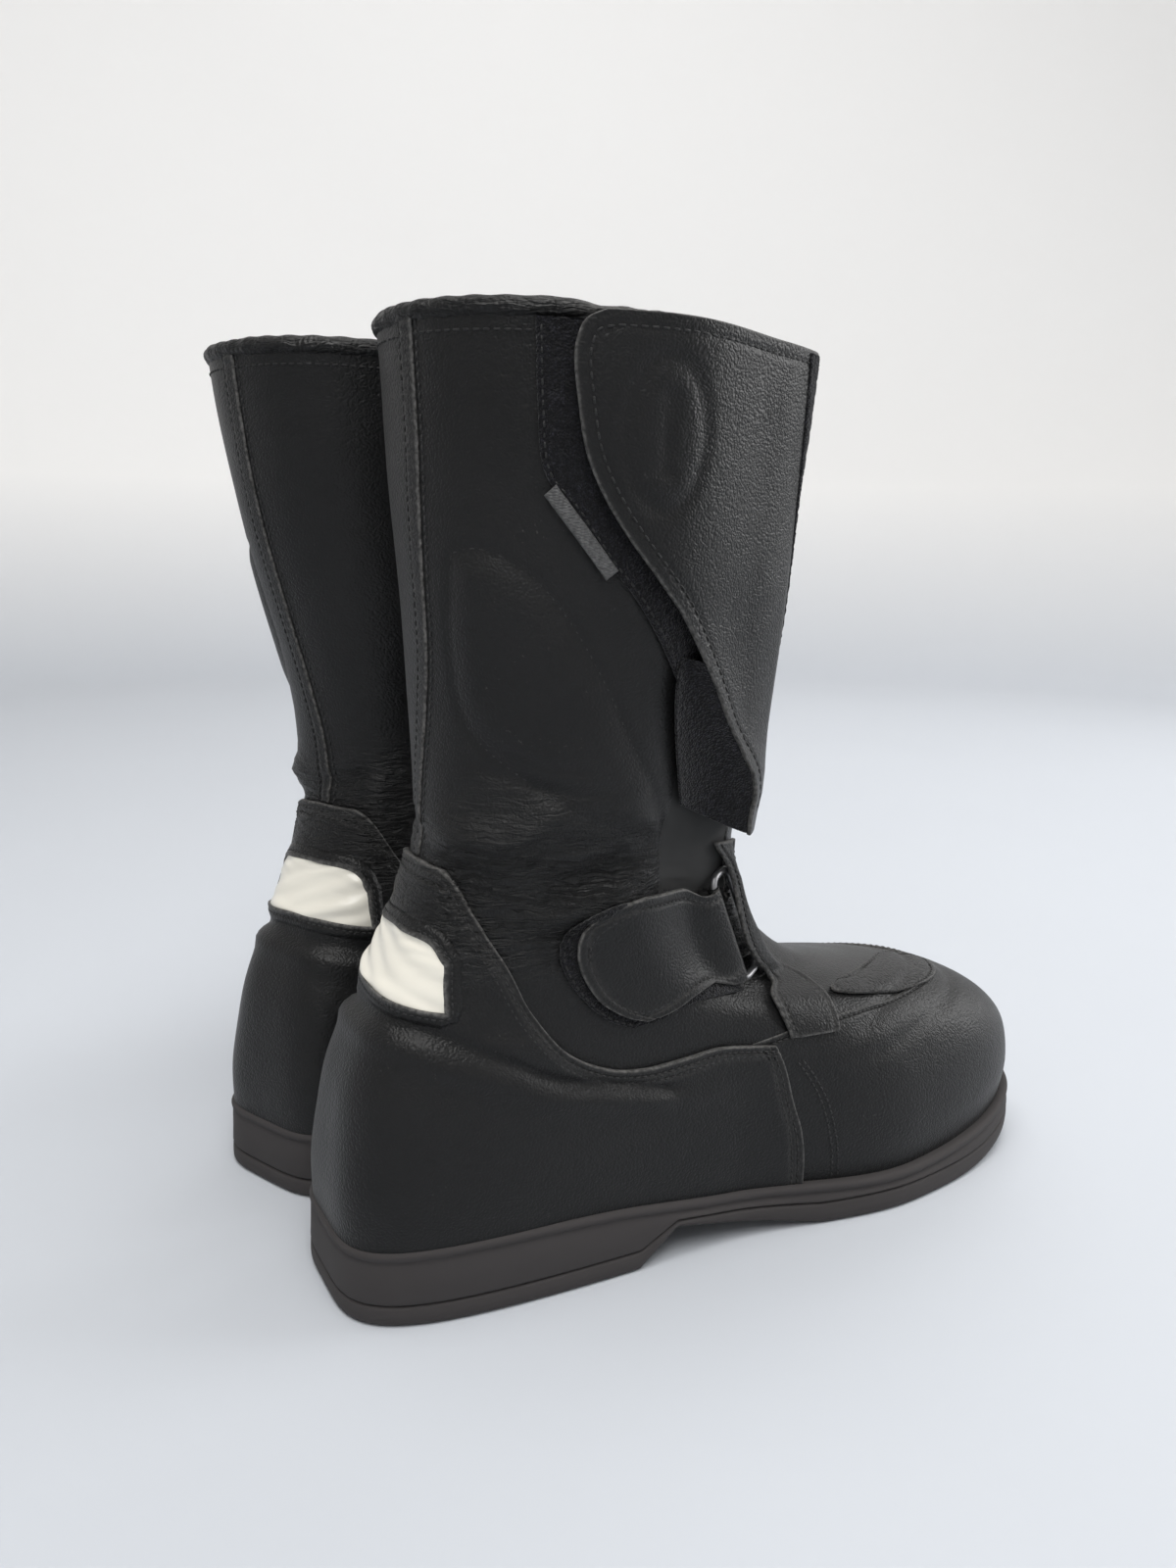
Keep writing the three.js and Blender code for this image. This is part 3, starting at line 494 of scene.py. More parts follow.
def stitches(name, side, lines, body="pair", pitch=STITCH_PITCH, place=None):
    """One piece with every stitch of several lines, each given as (t, v) points and a height."""
    place = place or layer
    groups = []
    for line, out in lines:
        points = place(line[:, 0], line[:, 1], out)
        groups.append(stitch_points(points, outward(line[:, 0], line[:, 1]), pitch))
    points = np.concatenate([g.reshape(-1, THREAD_SIDES * len(THREAD_SHAPE), 3) for g in groups])
    count = len(points)
    return make(name, side, points.reshape(-1, 3), stitch_faces(count), thread_finish(), body=body,
                slot="black_leather")


def beside(line, distance, ends=(0, 1)):
    """A line moved sideways over the leather, to its left as it runs, in millimetres."""
    line = at(line, np.linspace(*ends, len(line)))
    step = 1e-3
    here = face(line[:, 0], line[:, 1])
    per_t = np.linalg.norm(face(line[:, 0] + step, line[:, 1]) - here, axis=1) / step
    per_v = np.linalg.norm(face(line[:, 0], line[:, 1] + step) - here, axis=1) / step
    ahead = unit(np.gradient(line, axis=0) * np.stack([per_t, per_v], -1))
    left = np.stack([-ahead[:, 1] / per_t, ahead[:, 0] / per_v], -1)
    return line + distance * left


# ---- Finishes -----------------------------------------------------------------------------------
def add(tree, kind, links=None, **values):
    """A shader node with its properties, plain inputs and incoming links set."""
    node = tree.nodes.new(f"ShaderNode{kind}")
    for key, value in values.items():
        setattr(node, key, value)
    for key, value in (links or {}).items():
        socket = node.inputs[key]
        if isinstance(value, bpy.types.NodeSocket):
            tree.links.new(value, socket)
        else:
            socket.default_value = value
    return node


def ramp(tree, value, stops):
    """A colour or value ramp; stops are (place, grey or colour)."""
    node = add(tree, "ValToRGB", {"Fac": value})
    elements = node.color_ramp.elements
    while len(elements) < len(stops):
        elements.new(0.5)
    for element, (place, tone) in zip(elements, stops):
        element.position = place
        element.color = (tone, tone, tone, 1) if isinstance(tone, (int, float)) else (*tone, 1)
    return node.outputs["Color"]


def blend_colour(tree, share, first, second):
    node = add(tree, "Mix", data_type="RGBA")
    for socket, value in ((node.inputs[0], share), (node.inputs[6], first), (node.inputs[7], second)):
        if isinstance(value, bpy.types.NodeSocket):
            tree.links.new(value, socket)
        else:
            socket.default_value = (*value, 1) if isinstance(value, tuple) else value
    return node.outputs[2]


def maths(tree, operation, a, b=0.0):
    return add(tree, "Math", {0: a, 1: b}, operation=operation).outputs[0]


def vector_maths(tree, operation, a, b):
    return add(tree, "VectorMath", {0: a, 1: b}, operation=operation).outputs[0]


def own_place(tree):
    """The place on the piece, in metres."""
    return add(tree, "TexCoord").outputs["Object"]


def noise(tree, place, scale, detail, distortion=0.0, output="Fac"):
    links = {"Vector": place, "Scale": scale, "Detail": detail, "Distortion": distortion}
    return add(tree, "TexNoise", links).outputs[output]


def group(name, inputs, outputs, fill):
    """A shared effect: inputs are (name, default), outputs (name, kind); fill builds its inside."""
    if name in bpy.data.node_groups:
        return bpy.data.node_groups[name]
    tree = bpy.data.node_groups.new(name, "ShaderNodeTree")
    for label, default in inputs:
        socket = tree.interface.new_socket(label, in_out="INPUT", socket_type="NodeSocketFloat")
        socket.default_value = default
    for label, kind in outputs:
        tree.interface.new_socket(label, in_out="OUTPUT", socket_type=kind)
    source, result = tree.nodes.new("NodeGroupInput"), tree.nodes.new("NodeGroupOutput")
    for label, value in fill(tree, source.outputs).items():
        tree.links.new(value, result.inputs[label])
    return tree


def use(tree, shared, **values):
    """Places a shared effect in a material, with its own values."""
    node = add(tree, "Group", node_tree=shared)
    for key, value in values.items():
        socket = node.inputs[key.replace("_", " ")]
        if isinstance(value, bpy.types.NodeSocket):
            tree.links.new(value, socket)
        else:
            socket.default_value = value
    return node.outputs


GRAIN_WANDER = 0.004
CREASE_STRETCH = (0.35, 0.35, 2.6)
PEBBLE_SHARE = 0.45
CREASE_SHARE = 2.6
BROAD_SHARE = 1.2


def hide_grain():
    """Pebbled leather grain, with fine parallel creases where it has folded."""
    def fill(tree, given):
        place = own_place(tree)
        wander = noise(tree, place, 90.0, 2.0, output="Color")
        bent = vector_maths(tree, "MULTIPLY", wander, (GRAIN_WANDER, GRAIN_WANDER, GRAIN_WANDER))
        moved = vector_maths(tree, "ADD", place, bent)
        cells = add(tree, "TexVoronoi", {"Vector": moved, "Scale": given["Scale"]}, feature="SMOOTH_F1")
        pebble = ramp(tree, cells.outputs["Distance"], [(0.05, 1.0), (0.42, 0.55), (0.75, 0.0)])
        flat = vector_maths(tree, "MULTIPLY", moved, CREASE_STRETCH)
        lines = ramp(tree, noise(tree, flat, 230.0, 4.0, 0.9), [(0.38, 0.0), (0.58, 1.0)])
        lined = maths(tree, "MULTIPLY", lines, maths(tree, "MULTIPLY", given["Crinkle"], CREASE_SHARE))
        broad = maths(tree, "MULTIPLY", noise(tree, place, 38.0, 3.0), BROAD_SHARE)
        pebbled = maths(tree, "MULTIPLY", pebble, maths(tree, "MULTIPLY", given["Pebble"], PEBBLE_SHARE))
        height = maths(tree, "ADD", maths(tree, "ADD", pebbled, lined), broad)
        tone = ramp(tree, noise(tree, place, 16.0, 5.0), [(0.3, 0.0), (0.7, 1.0)])
        return {"Height": height, "Tone": tone}
    return group("Hide grain", [("Scale", 1500.0), ("Pebble", 1.0), ("Crinkle", 0.0)],
                 [("Height", "NodeSocketFloat"), ("Tone", "NodeSocketFloat")], fill)


def rubbing():
    """Scuffs and dust: a mask of worn specks, stronger on raw edges."""
    def fill(tree, given):
        place = own_place(tree)
        fine = noise(tree, place, 700.0, 4.0)
        patch = noise(tree, place, 60.0, 4.0)
        fuzz = maths(tree, "MULTIPLY", ramp(tree, fine, [(0.36, 0.25), (0.62, 1.0)]), given["Edge"])
        specks = maths(tree, "MULTIPLY", ramp(tree, fine, [(0.66, 0.0), (0.74, 1.0)]),
                       ramp(tree, patch, [(0.55, 0.0), (0.72, 1.0)]))
        both = maths(tree, "ADD", fuzz, maths(tree, "MULTIPLY", specks, given["Dust"]))
        return {"Mask": add(tree, "Clamp", {"Value": both}).outputs[0]}
    return group("Rubbing", [("Edge", 0.0), ("Dust", 0.3)], [("Mask", "NodeSocketFloat")], fill)


def cloth_weave():
    """A fine over-and-under weave with loose fibres."""
    def fill(tree, given):
        place = own_place(tree)
        parts = add(tree, "SeparateXYZ", {0: place}).outputs
        way_round = maths(tree, "MULTIPLY", maths(tree, "ADD", parts[0], parts[1]), given["Threads"])
        way_up = maths(tree, "MULTIPLY", parts[2], given["Threads"])
        fibre = noise(tree, place, 900.0, 4.0)
        woven = maths(tree, "MULTIPLY", maths(tree, "SINE", way_round), maths(tree, "SINE", way_up))
        height = maths(tree, "ADD", woven, fibre)
        return {"Height": height, "Tone": fibre}
    return group("Cloth weave", [("Threads", 4200.0)],
                 [("Height", "NodeSocketFloat"), ("Tone", "NodeSocketFloat")], fill)


def finish(name, build):
    """A material made once; build returns its shader's links and plain values."""
    if name in bpy.data.materials:
        return bpy.data.materials[name]
    material = bpy.data.materials.new(name)
    material.use_nodes = True
    tree = material.node_tree
    shader = tree.nodes["Principled BSDF"]
    for key, value in build(tree).items():
        socket = shader.inputs[key]
        if isinstance(value, bpy.types.NodeSocket):
            tree.links.new(value, socket)
        else:
            socket.default_value = (*value, 1) if isinstance(value, tuple) and len(value) == 3 else value
    return material


def bump(tree, height, distance, strength=1.0):
    links = {"Height": height, "Distance": distance, "Strength": strength}
    return add(tree, "Bump", links).outputs["Normal"]


def mark(tree, name):
    return add(tree, "Attribute", attribute_name=name).outputs["Fac"]


def leather_finish(name="boot_leather", scale=1300.0, pebble=1.0, depth=0.00042, worn=0.45):
    colours = bpy.context.scene.boot_leather

    def build(tree):
        grain = use(tree, hide_grain(), Scale=scale, Pebble=pebble, Crinkle=mark(tree, "crinkle"))
        # The edge mark holds the lighter raw edges and also the painted highlight along stitch rows; both
        # are drawn towards the cut-edge colour.
        lightened = use(tree, rubbing(), Edge=mark(tree, "raw_edge_and_row_highlight"), Dust=worn)["Mask"]
        base = blend_colour(tree, grain["Tone"], tuple(colours.dark), tuple(colours.light))
        gloss = ramp(tree, grain["Tone"], [(0.0, colours.roughness - 0.05), (1.0, colours.roughness + 0.07)])
        return {
            "Base Color": blend_colour(tree, lightened, base, tuple(colours.cut_edge)),
            "Roughness": maths(tree, "ADD", gloss, maths(tree, "MULTIPLY", lightened, 0.3)),
            "Specular IOR Level": 0.27,
            "Sheen Weight": 0.03,
            "Sheen Roughness": 0.45,
            "Normal": bump(tree, grain["Height"], depth),
        }
    return finish(name, build)


def thread_finish():
    def build(tree):
        weave = use(tree, cloth_weave(), Threads=9000.0)
        return {"Base Color": ramp(tree, weave["Tone"], [(0.3, 0.006), (0.75, 0.022)]), "Roughness": 0.62,
                "Normal": bump(tree, weave["Height"], 0.00005)}
    return finish("black_thread", build)


def pile_finish():
    def build(tree):
        place = own_place(tree)
        loops = add(tree, "TexVoronoi", {"Vector": place, "Scale": 1300.0}).outputs["Distance"]
        tufts = noise(tree, place, 520.0, 5.0)
        tone = maths(tree, "MULTIPLY", ramp(tree, tufts, [(0.42, 0.0), (0.7, 1.0)]),
                     ramp(tree, loops, [(0.1, 1.0), (0.5, 0.1)]))
        return {"Base Color": blend_colour(tree, tone, (0.0022, 0.0022, 0.0032), (0.026, 0.026, 0.036)),
                "Roughness": 0.92, "Specular IOR Level": 0.15, "Sheen Weight": 0.12, "Sheen Roughness": 0.6,
                "Normal": bump(tree, maths(tree, "ADD", tufts, loops), 0.0006)}
    return finish("hook_and_loop_pile", build)


def lining_finish(name="knit_lining", low=0.010, high=0.035, threads=2600.0):
    def build(tree):
        weave = use(tree, cloth_weave(), Threads=threads)
        return {"Base Color": ramp(tree, weave["Tone"], [(0.3, low), (0.7, high)]), "Roughness": 0.9,
                "Specular IOR Level": 0.2, "Sheen Weight": 0.15,
                "Normal": bump(tree, weave["Height"], 0.0003)}
    return finish(name, build)


def film_finish():
    """Cream reflective film: satin, crumpled, with greyed creases."""
    def build(tree):
        place = own_place(tree)
        soft = noise(tree, place, 70.0, 2.0, 1.4)
        sharp = noise(tree, place, 130.0, 5.0, 2.2)
        ridged = ramp(tree, sharp, [(0.44, 1.0), (0.5, 0.0), (0.56, 1.0)])
        grime = noise(tree, place, 260.0, 6.0)
        clean = blend_colour(tree, soft, (0.74, 0.72, 0.64), (0.86, 0.85, 0.80))
        worn = maths(tree, "MULTIPLY", ramp(tree, grime, [(0.5, 0.0), (0.75, 1.0)]), 0.35)
        height = maths(tree, "ADD", soft, maths(tree, "MULTIPLY", ridged, 0.16))
        return {"Base Color": blend_colour(tree, worn, clean, (0.50, 0.48, 0.42)), "Roughness": 0.34,
                "Specular IOR Level": 0.5, "Coat Weight": 0.25, "Coat Roughness": 0.25,
                "Normal": bump(tree, height, 0.0016, 0.7)}
    return finish("reflective_film", build)


SCRAPE_STRETCH = (0.6, 0.6, 3.4)
SCUFF_SHARE = 0.42
DUST_SHARE = 0.5


def rubber_finish():
    colours = bpy.context.scene.boot_sole

    def build(tree):
        place = own_place(tree)
        grain = noise(tree, place, 900.0, 4.0)
        patch = noise(tree, place, 45.0, 6.0, 0.6)
        drawn = vector_maths(tree, "MULTIPLY", place, SCRAPE_STRETCH)
        scrape = noise(tree, drawn, 90.0, 8.0, 0.5)
        lightened = use(tree, rubbing(), Edge=mark(tree, "raw_edge_and_row_highlight"), Dust=0.7)["Mask"]
        tone = blend_colour(tree, patch, tuple(colours.dark), tuple(colours.light))
        scuffed = maths(tree, "MULTIPLY", ramp(tree, scrape, [(0.56, 0.0), (0.74, 1.0)]), SCUFF_SHARE)
        dusty = maths(tree, "ADD", scuffed, maths(tree, "MULTIPLY", lightened, DUST_SHARE))
        worn = add(tree, "Clamp", {"Value": dusty}).outputs[0]
        return {"Base Color": blend_colour(tree, worn, tone, tuple(colours.scuff)),
                "Roughness": ramp(tree, patch, [(0.3, 0.5), (0.7, 0.72)]),
                "Specular IOR Level": 0.15,
                "Normal": bump(tree, maths(tree, "ADD", grain, scrape), 0.00018)}
    return finish("sole_rubber", build)


def metal_finish(name, colour, roughness):
    def build(tree):
        place = own_place(tree)
        wear = noise(tree, place, 420.0, 6.0)
        dull = tuple(c * 0.45 for c in colour)
        bright = ramp(tree, wear, [(0.35, 0.0), (0.65, 1.0)])
        return {"Base Color": blend_colour(tree, bright, dull, colour),
                "Metallic": 1.0, "Roughness": ramp(tree, wear, [(0.3, roughness), (0.7, roughness + 0.2)]),
                "Normal": bump(tree, wear, 0.00008)}
    return finish(name, build)


def plain_finish(name, low, high, roughness, scale, depth):
    """A mottled finish for the inner parts: board, stiffener or foam."""
    def build(tree):
        place = own_place(tree)
        cells = add(tree, "TexVoronoi", {"Vector": place, "Scale": scale}).outputs["Distance"]
        haze = noise(tree, place, scale * 0.4, 4.0)
        return {"Base Color": blend_colour(tree, haze, low, high), "Roughness": roughness,
                "Normal": bump(tree, maths(tree, "ADD", cells, haze), depth)}
    return finish(name, build)


# ---- Ankle hardware -----------------------------------------------------------------------------
LAYER_GAP = 0.8
RING_LENGTH = 44.0
RING_WIDTH = 12.0
RING_WIRE = 1.3
RING_PLACE = np.array([(.308, .435), (.348, .605)])
RING_LIFT = LAYER_GAP + RING_WIRE + 0.7


def flat_layer(t, v, out):
    """A point at a distance outside the smooth face, without the leather's folds."""
    return face(t, v) + outward(t, v) * np.asarray(out)[..., None]


def ring_frame():
    """The ring's middle and its directions: up its long bars, across to the front one, and out."""
    ends = flat_layer(RING_PLACE[:, 0], RING_PLACE[:, 1], np.full(2, RING_LIFT))
    up = unit(ends[1] - ends[0])
    out = unit(outward(RING_PLACE[:, 0], RING_PLACE[:, 1]).sum(0))
    across = unit(-np.cross(up, out))
    out = unit(-np.cross(across, up))
    across = across if across[0] > 0 else -across
    out = out if out[1] < 0 else -out
    return ends.mean(0), up, across, out


RING_MIDDLE, RING_UP, RING_ACROSS, RING_OUT = ring_frame()


def ring_point(rise, forward, proud):
    parts = np.asarray(rise)[..., None] * RING_UP, np.asarray(forward)[..., None] * RING_ACROSS
    return RING_MIDDLE + parts[0] + parts[1] + np.asarray(proud)[..., None] * RING_OUT


def tube(path, radius, sides=14, closed=True, hint=RING_OUT):
    """Points and faces of a round tube along a closed or open run of points."""
    ahead = unit(np.roll(path, -1, 0) - np.roll(path, 1, 0)) if closed else unit(np.gradient(path, axis=0))
    side = unit(np.cross(ahead, hint))
    up = np.cross(side, ahead)
    turn = np.linspace(0, 2 * np.pi, sides, endpoint=False)
    radius = np.broadcast_to(np.asarray(radius, float), (len(path),))[:, None, None]
    ring = np.cos(turn)[None, :, None] * side[:, None] + np.sin(turn)[None, :, None] * up[:, None]
    points = path[:, None] + radius * ring
    rows = len(path)
    faces = grid_faces(rows, sides, closed=True)
    if closed:
        faces += closing_faces(rows, sides)
    else:
        faces += [list(range(sides))[::-1], [(rows - 1) * sides + k for k in range(sides)]]
    return points.reshape(-1, 3), faces


def build_rings():
    """The wire rings that the ankle straps fold through, bent from round wire with a butt joint."""
    corner = RING_WIDTH / 2 * 0.72
    half = RING_LENGTH / 2 - RING_WIRE
    quarter_turn = np.linspace(0, np.pi / 2, 9)
    path = []
    for index, (rise, forward) in enumerate([(1, 1), (1, 0), (-1, 0), (-1, 1)]):
        centre_rise = rise * (half - corner)
        centre_forward = RING_WIDTH - corner if forward else corner
        angle = quarter_turn + index * np.pi / 2
        path += [(centre_rise + corner * math.sin(q), centre_forward + corner * math.cos(q)) for q in angle]
    path = np.array(path)
    points = ring_point(path[:, 0], path[:, 1], np.zeros(len(path)))
    for side in SIDES:
        tube_points, faces = tube(points, RING_WIRE, 16)
        steel = metal_finish("ring_steel", (0.20, 0.20, 0.205), 0.36)
        ring = make("wire_ring", side, tube_points, faces, steel, body="ring", slot="ring_steel")
        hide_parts(f"{side}_strap_ring")


STRAP_OUT = 2.8
STRAP_HALF = RING_LENGTH / 2 - 2 * RING_WIRE - 1
SLEEVE_RADIUS = RING_WIRE + 0.9
STRAP_RUN = 55.0               # the strap's length from the ring's bar
STRAP_OVER_BAR = 0.7
STRAP_ROW = 3.8
STRAP_LOW = [(.308, .437), (.280, .425), (.252, .400), (.228, .362), (.212, .345)]
STRAP_HIGH = [(.348, .600), (.31, .606), (.27, .597), (.244, .588), (.216, .563), (.200, .541)]
STRAP_TIP = [(.203, .357), (.194, .388), (.1895, .425), (.187, .465), (.1875, .495), (.1915, .520)]


def strap_place(a):
    """Places the strap's points, with its front part over the ring's rear bar."""
    def place(t, v, out):
        onto_boot = flat_layer(t, v, STRAP_OUT + out)
        low, high = at(np.array(STRAP_LOW[:1] + STRAP_HIGH[:1]), np.array([0.0, 1.0]))
        rise = mix(-STRAP_HALF, STRAP_HALF, (v - low[1]) / (high[1] - low[1]))
        onto_bar = ring_point(np.clip(rise, -STRAP_HALF, STRAP_HALF), -a * STRAP_RUN - RING_WIRE,
                              RING_WIRE + STRAP_OVER_BAR + out)
        share = smooth(a / 0.3)[..., None]
        return onto_bar * (1 - share) + onto_boot * share
    return place


def strap_share(t, v):
    """How far along the strap a place lies, from the ring's bar."""
    bar = mix(RING_PLACE[0, 0], RING_PLACE[1, 0], np.clip((v - .437) / .163, 0, 1))
    return np.clip((bar - t) / (bar - .190), 0, 1)


def on_strap(t, v, out):
    return strap_place(strap_share(t, v))(t, v, out)


def build_straps():
    """The ankle straps: leather with a raw edge, a row of stitches and the fold round the ring."""
    domain = four_sides(STRAP_LOW, STRAP_HIGH, end=STRAP_TIP)
    low, high = curve(STRAP_LOW), curve(STRAP_HIGH)
    tip = curve([STRAP_LOW[-1], *STRAP_TIP, STRAP_HIGH[-1]])
    outline = np.vstack([low, tip[1:], high[::-1][1:]])
    seam = beside(outline, -STRAP_ROW, (0.01, 0.99))
    for side in SIDES:
        strap = panel("strap_leather", side, domain, (0.0, 1.5), leather_finish(), cut="wesn",
                      sunk=[(key, STRAP_ROW) for key in "esn"], spacing=1.3, place=on_strap,
                      body="strap", slot="black_leather")
        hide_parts(f"{side}_ankle_strap")
        stitches("strap_stitches", side, [(seam, 1.2)], body="strap", pitch=2.4, place=on_strap)
        rise = np.linspace(-STRAP_HALF + 0.3, STRAP_HALF - 0.3, 24)
        bar = ring_point(rise, 0 * rise, 0 * rise)
        points, faces = tube(bar, SLEEVE_RADIUS, 24, closed=False, hint=RING_OUT)
        make("strap_fold", side, points, faces, leather_finish(), body="strap", slot="black_leather")


PAD_LOW = [(.292, .395), (.25, .380), (.222, .345), (.204, .330)]
PAD_HIGH = [(.296, .575), (.24, .582), (.205, .556), (.187, .527)]
PAD_TIP = [(.194, .350), (.186, .390), (.180, .43), (.1765, .47), (.178, .50)]


def pile_relief(strength, seed):
    """Tufts of the pile, as small random rises."""
    def relief(t, v):
        random = np.random.default_rng(seed)
        return random.uniform(-strength, strength, np.shape(t))
    return relief


def build_strap_pads():
    """The fastening pads under the ends of the ankle straps: pile on a stitched leather base."""
    domain = four_sides(PAD_LOW, PAD_HIGH, end=PAD_TIP)
    outline = curve([PAD_LOW[-1], *PAD_TIP, PAD_HIGH[-1]])
    for side in SIDES:
        pad = panel("strap_pile", side, domain, (0.3, 2.0), pile_finish(), cut="wesn", spacing=0.9,
                    relief=pile_relief(0.28, 3), slot="hook_and_loop")
        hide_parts(f"{side}_strap_pad")
        stitches("strap_pile_stitches", side, [(beside(outline, -1.3), 1.9)])


KEEPER_V = (0.265, 0.655)
KEEPER_REAR = np.array([(0, .275), (.15, .286), (.27, .301), (.42, .3325), (.65, .3535), (.9, .375),
                        (1, .353)])
KEEPER_FRONT = np.array([(0, .300), (.22, .330), (.53, .386), (.7, .404), (1, .402)])
KEEPER_CLEAR = RING_WIRE + 1.25
KEEPER_OUT = 0.8
KEEPER_LIFT = 7.0              # the most that the keeper rises over the bar
KEEPER_ROW = 2.8


def on_keeper(t, v, out):
    """The keeper lifts off the instep to pass over the ring's front bar."""
    b = np.clip((v - KEEPER_V[0]) / (KEEPER_V[1] - KEEPER_V[0]), 0, 1)
    rear, front = (np.interp(b, line[:, 0], line[:, 1]) for line in (KEEPER_REAR, KEEPER_FRONT))
    a = np.clip((t - rear) / (front - rear), 0, 1)
    normal = outward(t, v)
    below = (face(t, v) - RING_MIDDLE) @ RING_OUT
    lift = np.maximum((KEEPER_CLEAR - below) / (normal @ RING_OUT) - KEEPER_OUT, 0)
    reach = smooth((b - 0.1) / 0.14) * (1 - smooth((a - 0.5) / 0.5))
    return flat_layer(t, v, KEEPER_OUT + np.asarray(out) + np.minimum(lift, KEEPER_LIFT) * reach)


def build_keepers():
    """The leather bands that hold the rings, folded at the rear edge and stitched at both."""
    def side_line(table):
        return [(t, mix(*KEEPER_V, b)) for b, t in table]
    rear, front = side_line(KEEPER_REAR), side_line(KEEPER_FRONT)
    domain = quilt(curve([rear[0], front[0]]), curve([rear[-1], front[-1]]), curve(rear), curve(front))
    rear_line, front_line = curve(rear), curve(front)
    for side in SIDES:
        band = panel("keeper_band", side, domain, (0.0, 1.5), leather_finish(), cut="wesn",
                     sunk=[(key, KEEPER_ROW) for key in "we"], spacing=1.4, place=on_keeper,
                     slot="black_leather")
        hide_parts(f"{side}_ring_keeper")
        stitches("keeper_stitches", side, [(beside(rear_line, -KEEPER_ROW, (.03, .97)), 1.2),
                                           (beside(front_line, KEEPER_ROW, (.03, .97)), 1.2)],
                 pitch=2.4, place=on_keeper)


# ---- Upper leather ------------------------------------------------------------------------------
SEAM_SHIFT = {"right": 0.0, "left": -0.026}
BACK_SEAM = [(-.003, .585), (0, .67), (.014, .73), (.027, .79), (.035, .89), (.038, .99)]
QUARTER_TOP = [(0, .583), (.04, .581), (.072, .575), (.103, .537), (.14, .46), (.158, .37), (.172, .295),
               (.187, .256), (.202, .247), (.222, .256), (.240, .265), (.2655, .255)]
QUARTER_FRONT = [(.268, .001), (.265, .10), (.262, .163), (.2615, .215)]
RIM = 0.990


def mirrored(points):
    return [(-t, v) for t, v in reversed(points)]


def build_shafts():
    """The shaft's two sides, with the raw seam down the back."""
    for side in SIDES:
        seam = [(t + SEAM_SHIFT[side] * (v - .585) / .4, v) for t, v in BACK_SEAM]
        rear = [(seam[0][0], .20), *seam[:-1], (seam[-1][0], RIM)]
        inner_front = [(-.2755, .20), (-.2755, .45), (-.2755, .6), (-.272, .8), (-.272, RIM)]
        outer = quilt(curve([rear[0], (.14, .20), (.277, .20)]), curve([rear[-1], (.15, RIM), (.277, RIM)]),
                      curve(rear), curve([(.277, .20), (.277, RIM)]))
        inner = quilt(curve([inner_front[0], (-.14, .20), rear[0]]),
                      curve([inner_front[-1], (-.15, RIM), rear[-1]]), curve(inner_front), curve(rear))
        lateral = panel("shaft_outer_leather", side, outer, (-1.5, 0.0), leather_finish(), spacing=1.5,
                        folded=True, slot="black_leather")
        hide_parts(f"{side}_shaft_lateral")
        medial = panel("shaft_inner_leather", side, inner, (-1.5, 0.0), leather_finish(), spacing=1.9,
                       folded=True, slot="black_leather")
        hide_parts(f"{side}_shaft_medial")
        tape_rear = [(t - .008, v) for t, v in seam]
        tape_front = [(t + .008, v) for t, v in seam]
        tape = quilt(curve([tape_rear[0], tape_front[0]]), curve([tape_rear[-1], tape_front[-1]]),
                     curve(tape_rear), curve(tape_front))
        strip = panel("back_seam_tape", side, tape, (0.0, 0.95), leather_finish(), cut="we", spacing=1.2,
                      slot="black_leather", relief=lambda t, v: 0.22 * np.sin(v * 900))
        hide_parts(f"{side}_back_strip")
        line = curve(seam)
        stitches("back_seam_stitches", side, [(beside(line, 4.3), 0.05), (beside(line, -4.3), 0.05),
                                              (PAD_OUTLINE, -0.25)], pitch=2.9)


def build_fronts():
    """Vamp, instep and shin: the three leathers down the front of the boot."""
    low = [(.256, .001), (.38, .001), (.5, .001), (.62, .001), (.744, .001)]
    vamp_top = [(.256, .262), (.30, .292), (.36, .302), (.5, .305), (.64, .302), (.70, .292), (.744, .262)]
    vamp = four_sides(low, vamp_top)
    instep = four_sides([(.256, .23), (.5, .28), (.744, .23)], [(.27, .605), (.5, .602), (.73, .605)])
    shin_low = [(.385, .588), (.5, .585), (.62, .59), (.735, .59)]
    shin_top = [(.385, RIM), (.5, RIM), (.62, RIM), (.735, RIM)]
    shin = four_sides(shin_low, shin_top)
    vamp_line, shin_line = curve(vamp_top), curve([(.7285, .60), (.7285, .80), (.7285, RIM)])
    cover = four_sides([(.7225, .60), (.735, .60)], [(.7225, RIM), (.735, RIM)])
    instep_line = curve([(.385, .597), (.5, .594), (.62, .597), (.725, .597)])
    outer_seam = curve([(.283, .005), (.28, .085), (.277, .147), (.273, .225)])
    inner_seam = curve([(.717, .005), (.72, .085), (.723, .147), (.727, .225)])
    side_seams = [beside(line, distance, (.02, .98)) for line, way in ((outer_seam, 1), (inner_seam, -1))
                  for distance in (0.0, way * 2.4)]
    for side in SIDES:
        toe = panel("vamp_leather", side, vamp, (-1.4, 0.35), leather_finish(), cut="n", sunk=[("n", 2.8)],
                    spacing=2.0, slot="black_leather")
        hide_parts(f"{side}_vamp")
        middle = panel("instep_leather", side, instep, (-2.1, -0.6), leather_finish(), spacing=2.2,
                       folded=True, slot="black_leather")
        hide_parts(f"{side}_instep_panel")
        front = panel("shin_leather", side, shin, (-1.5, 0.0), leather_finish(), cut="ws", sunk=[("s", 2.8)],
                      spacing=2.2, slot="black_leather")
        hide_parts(f"{side}_front_panel")
        panel("inner_seam_tape", side, cover, (0.05, 0.95), leather_finish(), cut="we", spacing=1.6,
              slot="black_leather")
        stitches("front_stitches", side, [
            (beside(vamp_line, -2.8, (.02, .98)), 0.25), (beside(instep_line, 2.8), 0.0),
            (beside(shin_line, 3.2), 0.85), (beside(shin_line, -3.2), 0.05),
            *[(s, 0.4) for s in side_seams]])


